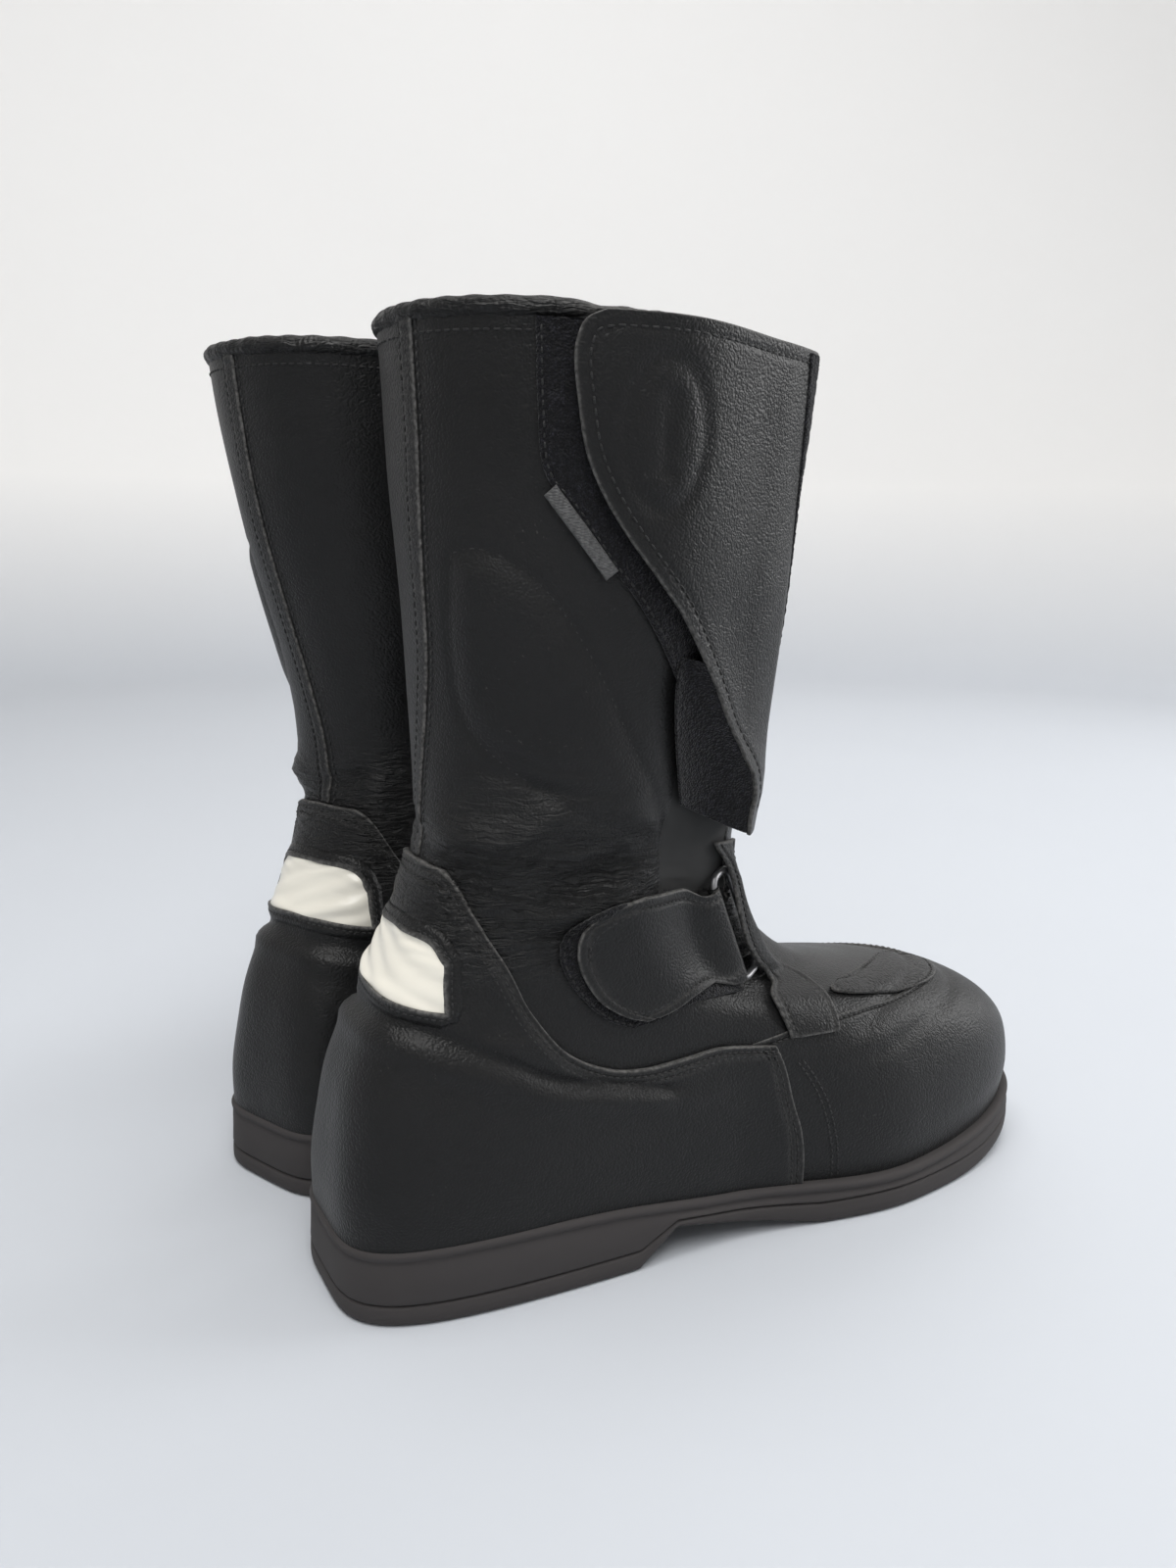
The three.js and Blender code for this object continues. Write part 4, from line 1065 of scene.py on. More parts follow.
def build_gussets():
    """The cloth gussets between shaft and shin, folded in behind the flap."""
    domain = four_sides([(.268, .575), (.33, .575), (.392, .575)], [(.268, RIM), (.33, RIM), (.392, RIM)])

    def pleat(t, v):
        return -1.2 - 2.2 * smooth((v - .58) / .05) * smooth((.76 - v) / .1) * np.sin(
            np.pi * np.clip((t - .268) / .124, 0, 1)) ** 2
    for side in SIDES:
        cloth = panel("gusset_cloth", side, domain, (-0.6, 0.1),
                      lining_finish("gusset_cloth", low=.006, high=.02, threads=3600.0),
                      relief=pleat, spacing=2.0, slot="gusset_cloth")
        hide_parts(f"{side}_gusset")


QUARTER_ROWS = (2.6, 5.0)


def quarter_relief(t, v):
    """The heel's hard counter stands a little proud under the crease."""
    return 0.9 * smooth((0.345 - v) / 0.03) * smooth((0.20 - np.abs(turned(t))) / 0.06)


def build_quarters():
    """The quarters that wrap the heels, with their stitched raw top edges."""
    top = [*mirrored(QUARTER_TOP)[:-1], *QUARTER_TOP]
    low = [(-.268, .001), (-.13, .001), (0, .001), (.13, .001), (.268, .001)]
    low_line, top_line = curve(low, 400), curve(top, 400)
    start = curve([(-t, v) for t, v in QUARTER_FRONT[:-1]] + [tuple(top_line[0])])
    end = curve(QUARTER_FRONT[:-1] + [tuple(top_line[-1])])
    domain = quilt(low_line, top_line, start, end)
    rows = [beside(top_line, -d, (.004, .996)) for d in QUARTER_ROWS]
    fronts = [beside(line, way * d, (.02, .97)) for line, way in ((end, 1), (start, -1))
              for d in QUARTER_ROWS]
    for side in SIDES:
        wrap = panel("quarter_leather", side, domain, (0.2, 2.1), leather_finish(), cut="nwe",
                     sunk=[(key, d) for key in "nwe" for d in QUARTER_ROWS],
                     spacing=1.5, relief=quarter_relief, folded=True, slot="black_leather")
        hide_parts(f"{side}_quarter")

        def on_quarter(t, v, out):
            return layer(t, v, out + quarter_relief(t, v))
        stitches("quarter_stitches", side, [(line, 1.8) for line in rows + fronts], place=on_quarter)


# ---- Heel reflector -----------------------------------------------------------------------------
REFLECTOR = {
    "right": ([(-.100, .383), (-.06, .390), (0, .386), (.055, .381), (.112, .372)],
              [(-.092, .452), (-.07, .478), (0, .487), (.035, .485), (.078, .478), (.100, .448)]),
    "left": ([(-.112, .372), (-.06, .385), (0, .388), (.055, .384), (.098, .378)],
             [(-.100, .440), (-.078, .478), (-.02, .487), (.035, .486), (.07, .478), (.092, .452)]),
}
FRAME_WIDTH = 4.6


def crumple(t, v):
    """The film's long, low buckles."""
    return 0.55 * np.sin(turned(t) * 60 + v * 90) * np.sin(v * 70 + turned(t) * 25)


def build_reflectors():
    """The heel reflectors: crumpled film in a window of raw-edged, stitched leather."""
    for side in SIDES:
        low, high = REFLECTOR[side]
        domain = four_sides(low, high)
        film = panel("reflector_film", side, domain, (1.6, 2.75), film_finish(), cut="wesn", spacing=1.1,
                     relief=crumple, slot="reflective_film")
        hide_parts(f"{side}_reflector")
        ends = [curve([low[-1], high[-1]], 40), curve([high[0], low[0]], 40)]
        loop = np.vstack([curve(low)[:-1], ends[0][:-1], curve(high)[::-1][:-1], ends[1][:-1]])
        profile = [(-0.5, 1.8), (-0.5, 3.0), (-0.2, 3.35), (0.5, 3.4), (1.4, 3.1), (1.9, 2.75), (2.4, 2.95),
                   (FRAME_WIDTH, 2.25), (FRAME_WIDTH, 1.6)]
        size = len(loop)
        around = [beside(np.vstack([loop[-3:], loop, loop[:3]]), -d)[3:-3] for d, _ in profile]
        points = np.stack([layer(line[:, 0], line[:, 1], np.full(size, h))
                           for line, (_, h) in zip(around, profile)])
        edge = np.repeat([[1], [1], [1], [.5], [0], [0], [0], [0], [0]], size, 1)
        faces = grid_faces(len(profile), size, closed=True)
        faces += closing_faces(len(profile), size)
        make("reflector_frame", side, points.reshape(-1, 3), faces, leather_finish(),
             {"raw_edge_and_row_highlight": edge, "crinkle": np.zeros(edge.size)}, slot="black_leather")
        seam = beside(np.vstack([loop, loop[:1]]), -1.9)
        stitches("reflector_stitches", side, [(seam, 2.7)], pitch=2.4)


def oval_domain(centre, half, turn=0.0):
    """An oval patch on the upper."""
    def place(a, b):
        p, q = 2 * a - 1, 2 * b - 1
        x, y = p * np.sqrt(1 - q * q / 2) * half[0], q * np.sqrt(1 - p * p / 2) * half[1]
        t = centre[0] + x * math.cos(turn) - y * math.sin(turn) * 0.6
        v = centre[1] + x * math.sin(turn) + y * math.cos(turn)
        return np.stack([t, v], -1)
    return place


def rim_of(domain, count=160):
    """The outline of a patch, as a closed line."""
    s = np.linspace(0, 1, count // 4, endpoint=False)
    ones, zeros = np.ones_like(s), np.zeros_like(s)
    a, b = np.r_[s, ones, 1 - s, zeros, 0], np.r_[zeros, s, ones, 1 - s, 0]
    return domain(a, b)


def build_heel_badges():
    """A plain oval on the back of each heel, with a sunk border."""
    centre, half = np.array((0, .2)), (.055, .06)
    domain = oval_domain(centre, half)

    def border(t, v):
        reach = np.sqrt((turned(t) / half[0]) ** 2 + ((v - centre[1]) / half[1]) ** 2)
        return -0.14 * np.exp(-((reach - .80) / .06) ** 2) + 0.9 - 0.3 * smooth((reach - .88) / .12)
    for side in SIDES:
        badge = panel("heel_oval", side, domain, (1.5, 2.16), leather_finish(), relief=border, spacing=0.9,
                      slot="black_leather")
        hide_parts(f"{side}_heel_badge")


def build_shift_pads():
    """The thick patches over the toes, where a gear lever rubs."""
    domain = oval_domain((.415, .335), (.078, .044), -0.16)
    line = rim_of(domain)
    for side in SIDES:
        hide = leather_finish("patch_leather", scale=1000.0, pebble=1.8, depth=.0005, worn=.6)
        pad = panel("toe_patch", side, domain, (0.2, 1.7), hide, cut="wesn",
                    sunk=[(key, 2.4) for key in "wesn"], spacing=1.3, slot="black_leather")
        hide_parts(f"{side}_shift_pad")
        stitches("toe_patch_stitches", side, [(beside(line, 2.3), 1.4)])


# ---- Closure flap -------------------------------------------------------------------------------
FLAP_ROOT = 0.398
FLAP_EDGE = [(.345, .677), (.341, .694), (.341, .709), (.332, .726), (.316, .741), (.297, .757),
             (.279, .782), (.259, .809), (.245, .827), (.226, .847), (.207, .867), (.190, .890),
             (.178, .915), (.172, .947), (.170, .967), (.172, .979), (.177, .988), (.188, .9935)]
FLAP_FOOT = FLAP_EDGE[0][1]
FLAP_ROW = 4.2
FOLD_LEVELS = np.linspace(.682, .988, 7)
FLAP_OUT = 5.1
FLAP_START = 0.8
FLAP_TOP = 0.9955
FLARE = 9.2                    # how far the flap's lower corner springs off the boot


def flap_share(t, v):
    """0 at the flap's root seam, 1 at its free edge."""
    edge = np.array(FLAP_EDGE)
    free = np.interp(v, edge[:, 1], edge[:, 0])
    return np.clip((FLAP_ROOT - t) / np.maximum(FLAP_ROOT - free, 0.01), 0, 1)


def flap_lift(t, v):
    """How far the flap stands off the boot: over the strips, and sprung open at its foot."""
    reach = np.clip((FLAP_ROOT - t) / 0.036, 0, 1)
    over = (FLAP_OUT - FLAP_START) * smooth(reach)
    share = flap_share(t, v)
    open_foot = FLARE * smooth((0.84 - v) / 0.12) * share
    return over + open_foot + 0.5 * np.sin(v * 40) * share * smooth((v - .7) / .1)


def emblem(t, v):
    """A plain oval ring with a bar, pressed into the flap."""
    x, y = (t - .227) / .025, (v - .929) / .043
    ring = -0.95 * np.exp(-((np.hypot(x, y) - 1) / .13) ** 2)
    bar = -0.8 * smooth((.2 - np.abs(x)) / .12) * smooth((.62 - np.abs(y)) / .12)
    return ring + bar


def on_flap(t, v, out):
    return layer(t, v, FLAP_START + flap_lift(t, v) + np.asarray(out))


WEB_BOOT = [(.283, .690), (.272, .715), (.262, .745), (.256, .775), (.258, .797)]
WEB_TIP = (.272, .797)
WEB_SAG = 2.0


def on_web(t, v, out):
    """The web between the flap's lifted free edge and the boot."""
    boot, edge = np.array(WEB_BOOT), np.array(FLAP_EDGE)
    low = np.interp(v, boot[:, 1], boot[:, 0])
    high = np.interp(v, edge[:, 1], edge[:, 0])
    share = np.clip((t - low) / np.maximum(high - low, .004), 0, 1)
    lifted = FLAP_START + flap_lift(high, v) - 0.1
    hang = mix(3.2, lifted, share ** 1.5) - WEB_SAG * np.sin(np.pi * share)
    return flat_layer(t, v, hang + np.asarray(out))


def build_flaps():
    """The wrap-round closure flaps with their turned borders, stitches and pressed oval."""
    edge = curve(FLAP_EDGE, 240)
    top = curve([FLAP_EDGE[-1], (.24, FLAP_TOP), (.32, FLAP_TOP), (FLAP_ROOT, FLAP_TOP)])
    foot = curve([FLAP_EDGE[0], (FLAP_ROOT, FLAP_FOOT)])
    root = curve([(FLAP_ROOT, FLAP_FOOT), (FLAP_ROOT, FLAP_TOP)], 200)
    domain = quilt(foot, top, edge, root)
    seam = np.vstack([beside(edge, -FLAP_ROW, (0.05, .985)), beside(top, -FLAP_ROW, (.03, .97))])
    root_line = curve([(FLAP_ROOT - .006, .69), (FLAP_ROOT - .006, .985)])

    low_rear, high_rear = tuple(edge[12] + (.006, .004)), tuple(edge[-14] + (.008, -.010))
    low_front, high_front = (FLAP_ROOT - .012, .70), (.30, .975)
    facing = quilt(curve([low_rear, low_front]), curve([high_rear, high_front]),
                   curve([tuple(p + (.007, 0.0)) for p in edge[12:-14:12]] + [high_rear]),
                   curve([low_front, (.372, .76), (.34, .84), high_front]))
    root_tape = quilt(curve([(.384, .80), (.3985, .80)]), curve([(.352, .993), (.368, .993)]),
                      curve([(.384, .80), (.374, .86), (.362, .93), (.352, .993)]),
                      curve([(.3985, .80), (.390, .86), (.379, .93), (.368, .993)]))
    web = quilt(curve([WEB_BOOT[0], (.348, .677)]), curve([WEB_BOOT[-1], WEB_TIP]), curve(WEB_BOOT),
                curve([(t + .003, v) for t, v in FLAP_EDGE[:6]] + [WEB_TIP]))

    def border(t, v):
        near = distance_to(face(t, v), face(seam[::4, 0], seam[::4, 1]))
        return emblem(t, v) - 0.35 * np.exp(-(near / 0.75) ** 2)
    for side in SIDES:
        flap = panel("flap_leather", side, domain, (0.0, 1.7), leather_finish(), cut="wsn", spacing=1.25,
                     relief=border, place=on_flap, body="flap", slot="black_leather")
        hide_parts(f"{side}_closure_flap")
        stitches("flap_stitches", side, [(seam, 1.45), (root_line, 1.5)], body="flap", pitch=3.2,
                 place=on_flap)
        under = panel("flap_pile", side, facing, (-1.0, -0.12), pile_finish(), spacing=1.5,
                      relief=pile_relief(0.12, 5), place=on_flap, body="flap", slot="hook_and_loop")
        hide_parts(f"{side}_flap_hook_panel")
        panel("flap_root_tape", side, root_tape, (1.6, 2.35), pile_finish(), cut="we", spacing=1.0,
              relief=pile_relief(0.2, 13), place=on_flap, body="flap", slot="hook_and_loop")
        for index, (low, high) in enumerate(zip(FOLD_LEVELS, FOLD_LEVELS[1:])):
            band = four_sides([(.384, low), (.410, low)], [(.384, high), (.410, high)])
            fold = panel(f"flap_fold_{index + 1}", side, band, (0.15, 0.7), pile_finish(), spacing=1.0,
                         place=flat_layer, body=None, slot="hook_and_loop")
            middle = flat_layer(np.array([.407, .389]), np.full(2, (low + high) / 2), np.full(2, .4))
            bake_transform(fold)
        panel("flap_web", side, web, (-0.9, 0.0), pile_finish(), cut="s", spacing=1.0,
              relief=pile_relief(0.2, 9), place=on_web, body="flap", slot="hook_and_loop")


LOOP_EDGE = [(.316, .700), (.293, .745), (.256, .787), (.220, .828), (.197, .850), (.172, .880),
             (.152, .902), (.148, .94), (.147, .988)]


def build_loop_strips():
    """The loop pile sewn along the shaft, which the flap fastens to."""
    front = [(.372, .700), (.352, .745), (.33, .787), (.308, .828), (.29, .88), (.285, .94), (.285, .988)]
    domain = quilt(curve([LOOP_EDGE[0], front[0]]), curve([LOOP_EDGE[-1], (.22, .988), front[-1]]),
                   curve(LOOP_EDGE, 200), curve(front))
    line = curve(LOOP_EDGE, 200)
    for side in SIDES:
        strip = panel("loop_pile", side, domain, (0.3, 1.9), pile_finish(), cut="ws", spacing=0.95,
                      relief=pile_relief(0.3, 7), slot="hook_and_loop")
        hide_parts(f"{side}_loop_strip")
        stitches("loop_stitches", side, [(beside(line, -1.6, (.01, .99)), 1.75)], pitch=2.8)


LABEL = [(.152, .888), (.160, .895), (.203, .847), (.195, .840)]


def build_side_labels():
    """Small plain woven tabs, folded into the edge of the loop strip."""
    domain = quilt(*(curve([LABEL[p], LABEL[q]]) for p, q in ((0, 3), (1, 2), (0, 1), (3, 2))))

    def woven(t, v):
        return 0.10 * np.sin((v + t) * 900)

    def build(tree):
        weave = use(tree, cloth_weave(), Threads=7000.0)
        return {"Base Color": ramp(tree, weave["Tone"], [(0.3, 0.045), (0.7, 0.11)]), "Roughness": 0.7,
                "Normal": bump(tree, weave["Height"], 0.00012)}
    for side in SIDES:
        tab = panel("woven_tab", side, domain, (1.95, 2.75), finish("tab_weave", build), cut="wesn",
                    spacing=0.8, relief=woven, slot="woven_label")
        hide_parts(f"{side}_side_label")


# ---- Rim ----------------------------------------------------------------------------------------
BINDING_RADIUS = 3.4
BINDING_IN = -2.1
COVERED_RADIUS = 1.7           # under the flap
COVERED_IN = -1.4
COVERED_RISE = 0.4


def build_bindings():
    """The rolled leather round the rim: full and wrinkled, thin and frayed under the flap."""
    count = 300
    t = np.linspace(0, 1, count, endpoint=False)
    level = 1 - BINDING_RADIUS * RIM_OUT
    covered = smooth((t - .165) / .02) * smooth((.402 - t) / .012)
    random = np.random.default_rng(11)
    rough = np.convolve(random.uniform(-1, 1, count + 4), np.ones(5) / 5, "valid")
    sides = 22
    turn = np.linspace(0, 2 * np.pi, sides, endpoint=False)
    radius = mix(BINDING_RADIUS, COVERED_RADIUS, covered)
    wave = 0.16 * np.sin(t * 2 * np.pi * 41) + 0.3 * rough * (0.35 + covered)
    away = outward(t, np.full(count, level))
    centre = face(t, np.full(count, level)) + away * mix(BINDING_IN, COVERED_IN, covered)[:, None]
    centre[:, 2] += covered * COVERED_RISE
    out = unit(away * np.array([1, 1, 0]))
    ring = np.cos(turn)[None, :, None] * out[:, None] + np.sin(turn)[None, :, None] * np.array([0, 0, 1.0])
    size = (radius + wave)[:, None, None] * (1 + 0.05 * np.sin(3 * turn + 9 * t[:, None]))[..., None]
    points = centre[:, None] + ring * size
    faces = grid_faces(count, sides, closed=True)
    faces += closing_faces(count, sides)
    crest = np.clip(np.sin(turn), 0, 1)[None] ** 2
    worn = 0.22 * crest * (0.4 + 0.6 * np.abs(np.sin(t * 19))[:, None]) + 0.55 * covered[:, None]
    for side in SIDES:
        hide = leather_finish("rim_leather", scale=800.0, pebble=1.6, depth=.0006, worn=1.4)
        roll = make("rim_roll", side, points.reshape(-1, 3), [f[::-1] for f in faces], hide,
                    {"raw_edge_and_row_highlight": worn, "crinkle": np.full(worn.shape, .35)}, slot="black_leather")
        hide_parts(f"{side}_collar_binding")
        line = np.stack([t, np.full(count, level - .0125)], -1)[covered < .05]
        outer, rest = line[line[:, 0] < .17], line[line[:, 0] > .405]
        stitches("rim_stitches", side, [(outer, 0.05), (rest, 0.05)], pitch=3.0)


# ---- Inside -------------------------------------------------------------------------------------
LINING_WALLS = (-5.2, -4.2)
FOAMS = (
    ("shaft_foam", "shaft_pad", 0.8, [(.075, .70), (.14, .69), (.255, .66)],
     [(.08, .845), (.14, .835), (.215, .75)]),
    ("shin_foam", "shin_pad", 0.7, [(.42, .66), (.55, .65), (.69, .66)],
     [(.42, .95), (.55, .955), (.69, .95)]),
)


def dimples(t, v):
    """How a foam pad bulges between its seams."""
    return 0.35 * np.sin(turned(t) * 50) * np.sin(v * 60)


def build_linings():
    """The cloth linings, footbeds and foam, and finishes for the parts inside the soles."""
    rows, columns = 90, 150
    levels, places = np.linspace(.02, .988, rows), np.linspace(0, 1, columns, endpoint=False)
    v, t = np.meshgrid(levels, places, indexing="ij")
    walls = [layer(t, v, np.full(t.shape, out)) for out in LINING_WALLS]
    size = rows * columns
    faces = [f[::-1] for f in grid_faces(rows, columns, closed=True)] + grid_faces(rows, columns, size, True)
    for row in (0, rows - 1):
        k = np.arange(columns) + row * columns
        after = np.roll(np.arange(columns), -1) + row * columns
        rim = np.stack([k, after, after + size, k + size], -1)
        faces += (rim if row == 0 else rim[:, ::-1]).tolist()
    points = np.concatenate([w.reshape(-1, 3) for w in walls])
    for side in SIDES:
        cloth = make("lining_cloth", side, points, faces, lining_finish(), slot="lining_cloth")
        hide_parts(f"{side}_lining")
        for name, node, fill, low, high in FOAMS:
            foam = panel(name, side, four_sides(low, high), (-3.3, -2.4),
                         plain_finish("pad_foam", (.30, .30, .27), (.42, .42, .38), .95, 900.0, .0004),
                         cut="wesn", spacing=2.6, slot="pad_foam", relief=dimples)
            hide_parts(f"{side}_{node}")
        footbed = sole_slab("footbed_cushion", side, -8.5, above_seat(3.0), above_seat(6.6),
                            lining_finish("footbed_cloth", low=.012, high=.03, threads=3000.0),
                            crown=1.2, slot="lining_cloth")
        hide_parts(f"{side}_footbed")
    board = plain_finish("insole_fibre", (.22, .17, .11), (.33, .27, .19), .9, 700.0, .0003)
    plastic = plain_finish("stiffener_plastic", (.05, .05, .05), (.08, .08, .08), .55, 400.0, .0001)
    inner = {"shank": metal_finish("shank_steel", (.55, .55, .54), .3), "insole_board": board,
             "toe_stiffener": plastic, "heel_stiffener": plastic}
    for node, material in inner.items():
        for side in SIDES:
            slots = frame["nodes"][f"{side}_{node}"].data.materials
            slots.clear()
            slots.append(material)


# ---- Soles --------------------------------------------------------------------------------------
SOLE_EDGE = 4.0
HEEL_BLOCK = 100.0
BREAST_SLOPE = 15.0
ARCH_LIFT = 12.0
LIFT_THICKNESS = 7.0
TREAD_THICKNESS = 8.0
TOE_SPRING = 12.0


def toe_rise(x):
    return TOE_SPRING * np.clip((x - UPPER_LENGTH * 0.81) / (UPPER_LENGTH * 0.22), 0, 1) ** 2


def breast(x):
    return np.clip((x - HEEL_BLOCK) / BREAST_SLOPE, 0, 1)


def waist(x):
    return ARCH_LIFT * np.clip(1 - (x - HEEL_BLOCK - BREAST_SLOPE) / 60, 0, 1)


def ground_line(x):
    return breast(x) * waist(x) + toe_rise(x)


def groove_line(x):
    return mix(LIFT_THICKNESS, TREAD_THICKNESS + waist(x) * 0.55, breast(x)) + toe_rise(x) * 0.8


def sole_outline(t, outset):
    """The sole's outline in plan, set out from the upper's lower edge."""
    run = face(t + 0.002, np.zeros_like(t)) - face(t - 0.002, np.zeros_like(t))
    run[..., 2] = 0
    run = unit(run)
    p = face(t, np.zeros_like(t))
    return np.stack([p[..., 0] + run[..., 1] * outset, p[..., 1] - run[..., 0] * outset], -1)


def sole_stations(count=150):
    """Places round half the outline, even in length and closer at the heel's front face."""
    t = np.linspace(0, 0.5, 4000)
    line = sole_outline(t, SOLE_EDGE)
    run = np.r_[0, np.cumsum(np.linalg.norm(np.diff(line, axis=0), axis=1))]
    density = 1 + 4 * np.exp(-((line[:, 0] - HEEL_BLOCK - BREAST_SLOPE / 2) / 9) ** 2)
    weight = np.r_[0, np.cumsum(np.diff(run) * density[1:])]
    return np.interp(np.linspace(0, weight[-1], count), weight, t)


def rings_to_mesh(rings):
    """Points and faces of a body whose side is a stack of rings; both ends close across."""
    count = len(rings[0])
    half = count // 2
    faces = grid_faces(len(rings), count, closed=True)
    for row, flip in ((0, False), (len(rings) - 1, True)):
        base = row * count
        strip = [[base + k, base + k + 1, base + (count - k - 1) % count, base + (count - k) % count]
                 for k in range(1, half - 1)]
        ends = [[base, base + 1, base + count - 1],
                [base + half - 1, base + half, base + half + 1]]
        faces += [f[::-1] if flip else f for f in strip + ends]
    return np.concatenate(rings), faces


def ring_at(stations, outset, height):
    t = np.r_[stations, 1 - stations[-2:0:-1]]
    plan = sole_outline(t, 0.0)
    outset = np.broadcast_to(np.asarray(outset(plan[:, 0]) if callable(outset) else outset, float), t.shape)
    plan = sole_outline(t, outset)
    return np.stack([plan[:, 0], plan[:, 1], height(plan[:, 0])], -1)


def sole_slab(name, side, outset, bottom, top, material, crown=0.0, **rest):
    """A layer cut to the sole's outline, with rounded edges."""
    stations = sole_stations(90)
    profile = [(-14, 1.0), (-6, 1.0), (-1.2, 0.97), (-0.2, 0.75), (0, 0.45), (-0.2, 0.15), (-1.0, 0.0),
               (-14, 0.0)]
    rings = [ring_at(stations, outset + d, lambda x, k=k, d=d: mix(bottom(x), top(x), k) + (
        crown * smooth(-d / 14) * k)) for d, k in profile]
    points, faces = rings_to_mesh(rings)
    return make(name, side, points, faces, material, **rest)


def build_soles():
    """The two-part rubber soles: a midsole with a lip under the leather, and the tread."""
    stations = sole_stations(170)

    def groove(rise):
        return lambda x: groove_line(x) + rise

    def ground(rise):
        return lambda x: ground_line(x) + rise

    def cup(share):
        return lambda x: mix(seat_height(x) - 3.3, groove_line(x), share)
    middle_profile = [(-3.5, above_seat(0.2)), (0.2, above_seat(1.0)), (2.6, above_seat(0.9)),
                      (3.7, above_seat(0.3)), (4.1, above_seat(-0.6)), (4.0, above_seat(-1.7)),
                      (3.3, above_seat(-2.3)), (3.2, above_seat(-2.9)), (3.7, cup(0.06)), (3.9, cup(0.5)),
                      (4.2, groove(1.2)), (4.0, groove(0.5)), (2.4, groove(0.1)), (-12, groove(0.1))]
    tread_profile = [(-12, groove(-0.1)), (2.4, groove(-0.1)), (3.9, groove(-0.5)), (4.2, groove(-1.2)),
                     (4.3, lambda x: mix(ground_line(x), groove_line(x), 0.45)), (4.2, ground(1.3)),
                     (3.8, ground(0.45)), (3.0, ground(0.04)), (1.8, ground(0.02))]
    for side in SIDES:
        rings = [ring_at(stations, d, h) for d, h in middle_profile]
        points, faces = rings_to_mesh(rings)
        edge = np.repeat([0, 0, .5, .9, .7, .3, 0, 0, 0, .1, .5, .3, 0, 0], len(rings[0]))
        midsole = make("midsole_rubber", side, points, faces, rubber_finish(), {"raw_edge_and_row_highlight": edge * 0.6},
                       slot="sole_rubber")
        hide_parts(f"{side}_midsole")
        rings = [ring_at(stations, d, h) for d, h in tread_profile]
        points, faces = rings_to_mesh(rings)
        edge = np.repeat([0, 0, .1, .2, .1, .4, .8, .6, .3], len(rings[0]))
        outsole = make("tread_rubber", side, points, faces, rubber_finish(), {"raw_edge_and_row_highlight": edge * 0.6},
                       slot="sole_rubber")
        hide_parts(f"{side}_outsole")
        lugs(side)


LUG_PITCH = 11.0
LUG_LANES = (-0.66, 0.0, 0.66)
MIDDLE_LANE_AHEAD = 3.0


def lugs(side):
    """The tread's bars: rounded blocks set across the heel and the forefoot, with gaps between."""
    points, faces = [], []
    span = sole_outline(np.linspace(0, 1, 400), 0.0)
    for start, end in ((8.0, HEEL_BLOCK - 6), (182.0, 288.0)):
        for x in np.arange(start, end, LUG_PITCH):
            ys = span[np.abs(span[:, 0] - x) < 2.5, 1]
            if len(ys) < 2:
                continue
            half, middle = (ys.max() - ys.min()) / 2 - 1.5, (ys.max() + ys.min()) / 2
            for lane in LUG_LANES:
                ahead = MIDDLE_LANE_AHEAD if lane == 0 else 0.0
                centre = np.array([x + ahead, middle + lane * half])
                block(points, faces, centre, (LUG_PITCH * 0.36, half * 0.29))
    make("tread_lugs", side, np.concatenate(points), faces, rubber_finish(), slot="sole_rubber")


BLOCK_SIDES = 24
BLOCK_RINGS = ((1.0, 1.5), (1.0, 0.35), (0.96, 0.1), (0.88, 0.0))


def block(points, faces, centre, half):
    """One rounded tread bar, let into the sole from below."""
    turn = np.linspace(0, 2 * np.pi, BLOCK_SIDES, endpoint=False)
    square = (np.abs(np.cos(turn)) ** 5 + np.abs(np.sin(turn)) ** 5) ** -0.2
    plan = np.stack([np.cos(turn) * square * half[0], np.sin(turn) * square * half[1]], -1)
    base = sum(len(p) for p in points)
    for grow, rise in BLOCK_RINGS:
        p = centre + plan * grow
        points.append(np.stack([p[:, 0], p[:, 1], ground_line(p[:, 0]) + rise], -1))
    last = base + (len(BLOCK_RINGS) - 1) * BLOCK_SIDES
    faces += [[i + base for i in f[::-1]] for f in grid_faces(len(BLOCK_RINGS), BLOCK_SIDES, closed=True)]
    faces += [[base + k for k in range(BLOCK_SIDES)], [last + k for k in reversed(range(BLOCK_SIDES))]]


# ---- Stage --------------------------------------------------------------------------------------
CAMERA_PLACE = Vector((-0.3266, -0.3750, 0.250))
CAMERA_HEADING = (0.6461, 0.7632)
CAMERA_PITCH = 11.7
CAMERA_ROLL = 0.64
CAMERA_LENS = 27.9
FLOOR_RADIUS = 1.6
SWEEP_RADIUS = 0.7
FLOOR_DROP = 0.0004            # keeps the floor just clear of the treads


def soft_light(name, place, target, size, power, tint=(1, 1, 1)):
    light = bpy.data.lights.new(name, "AREA")
    light.shape, light.size, light.energy, light.color = "SQUARE", size, power, tint
    lamp = bpy.data.objects.new(name, light)
    lamp.location = place
    lamp.rotation_euler = (Vector(target) - Vector(place)).to_track_quat("-Z", "Y").to_euler()
    bpy.context.scene.collection.objects.link(lamp)


def studio_finish():
    """The floor's pale blue-grey paint, turning to a pale wall as it sweeps up."""
    def build(tree):
        place = own_place(tree)
        height = add(tree, "SeparateXYZ", {0: place}).outputs[2]
        haze = noise(tree, place, 3.0, 3.0)
        floor = blend_colour(tree, haze, (.525, .55, .59), (.545, .57, .61))
        share = ramp(tree, height, [(0.01, 0.0), (0.35, 1.0)])
        return {"Base Color": blend_colour(tree, share, floor, (.90, .89, .875)), "Roughness": 0.8}
    return finish("studio_paint", build)


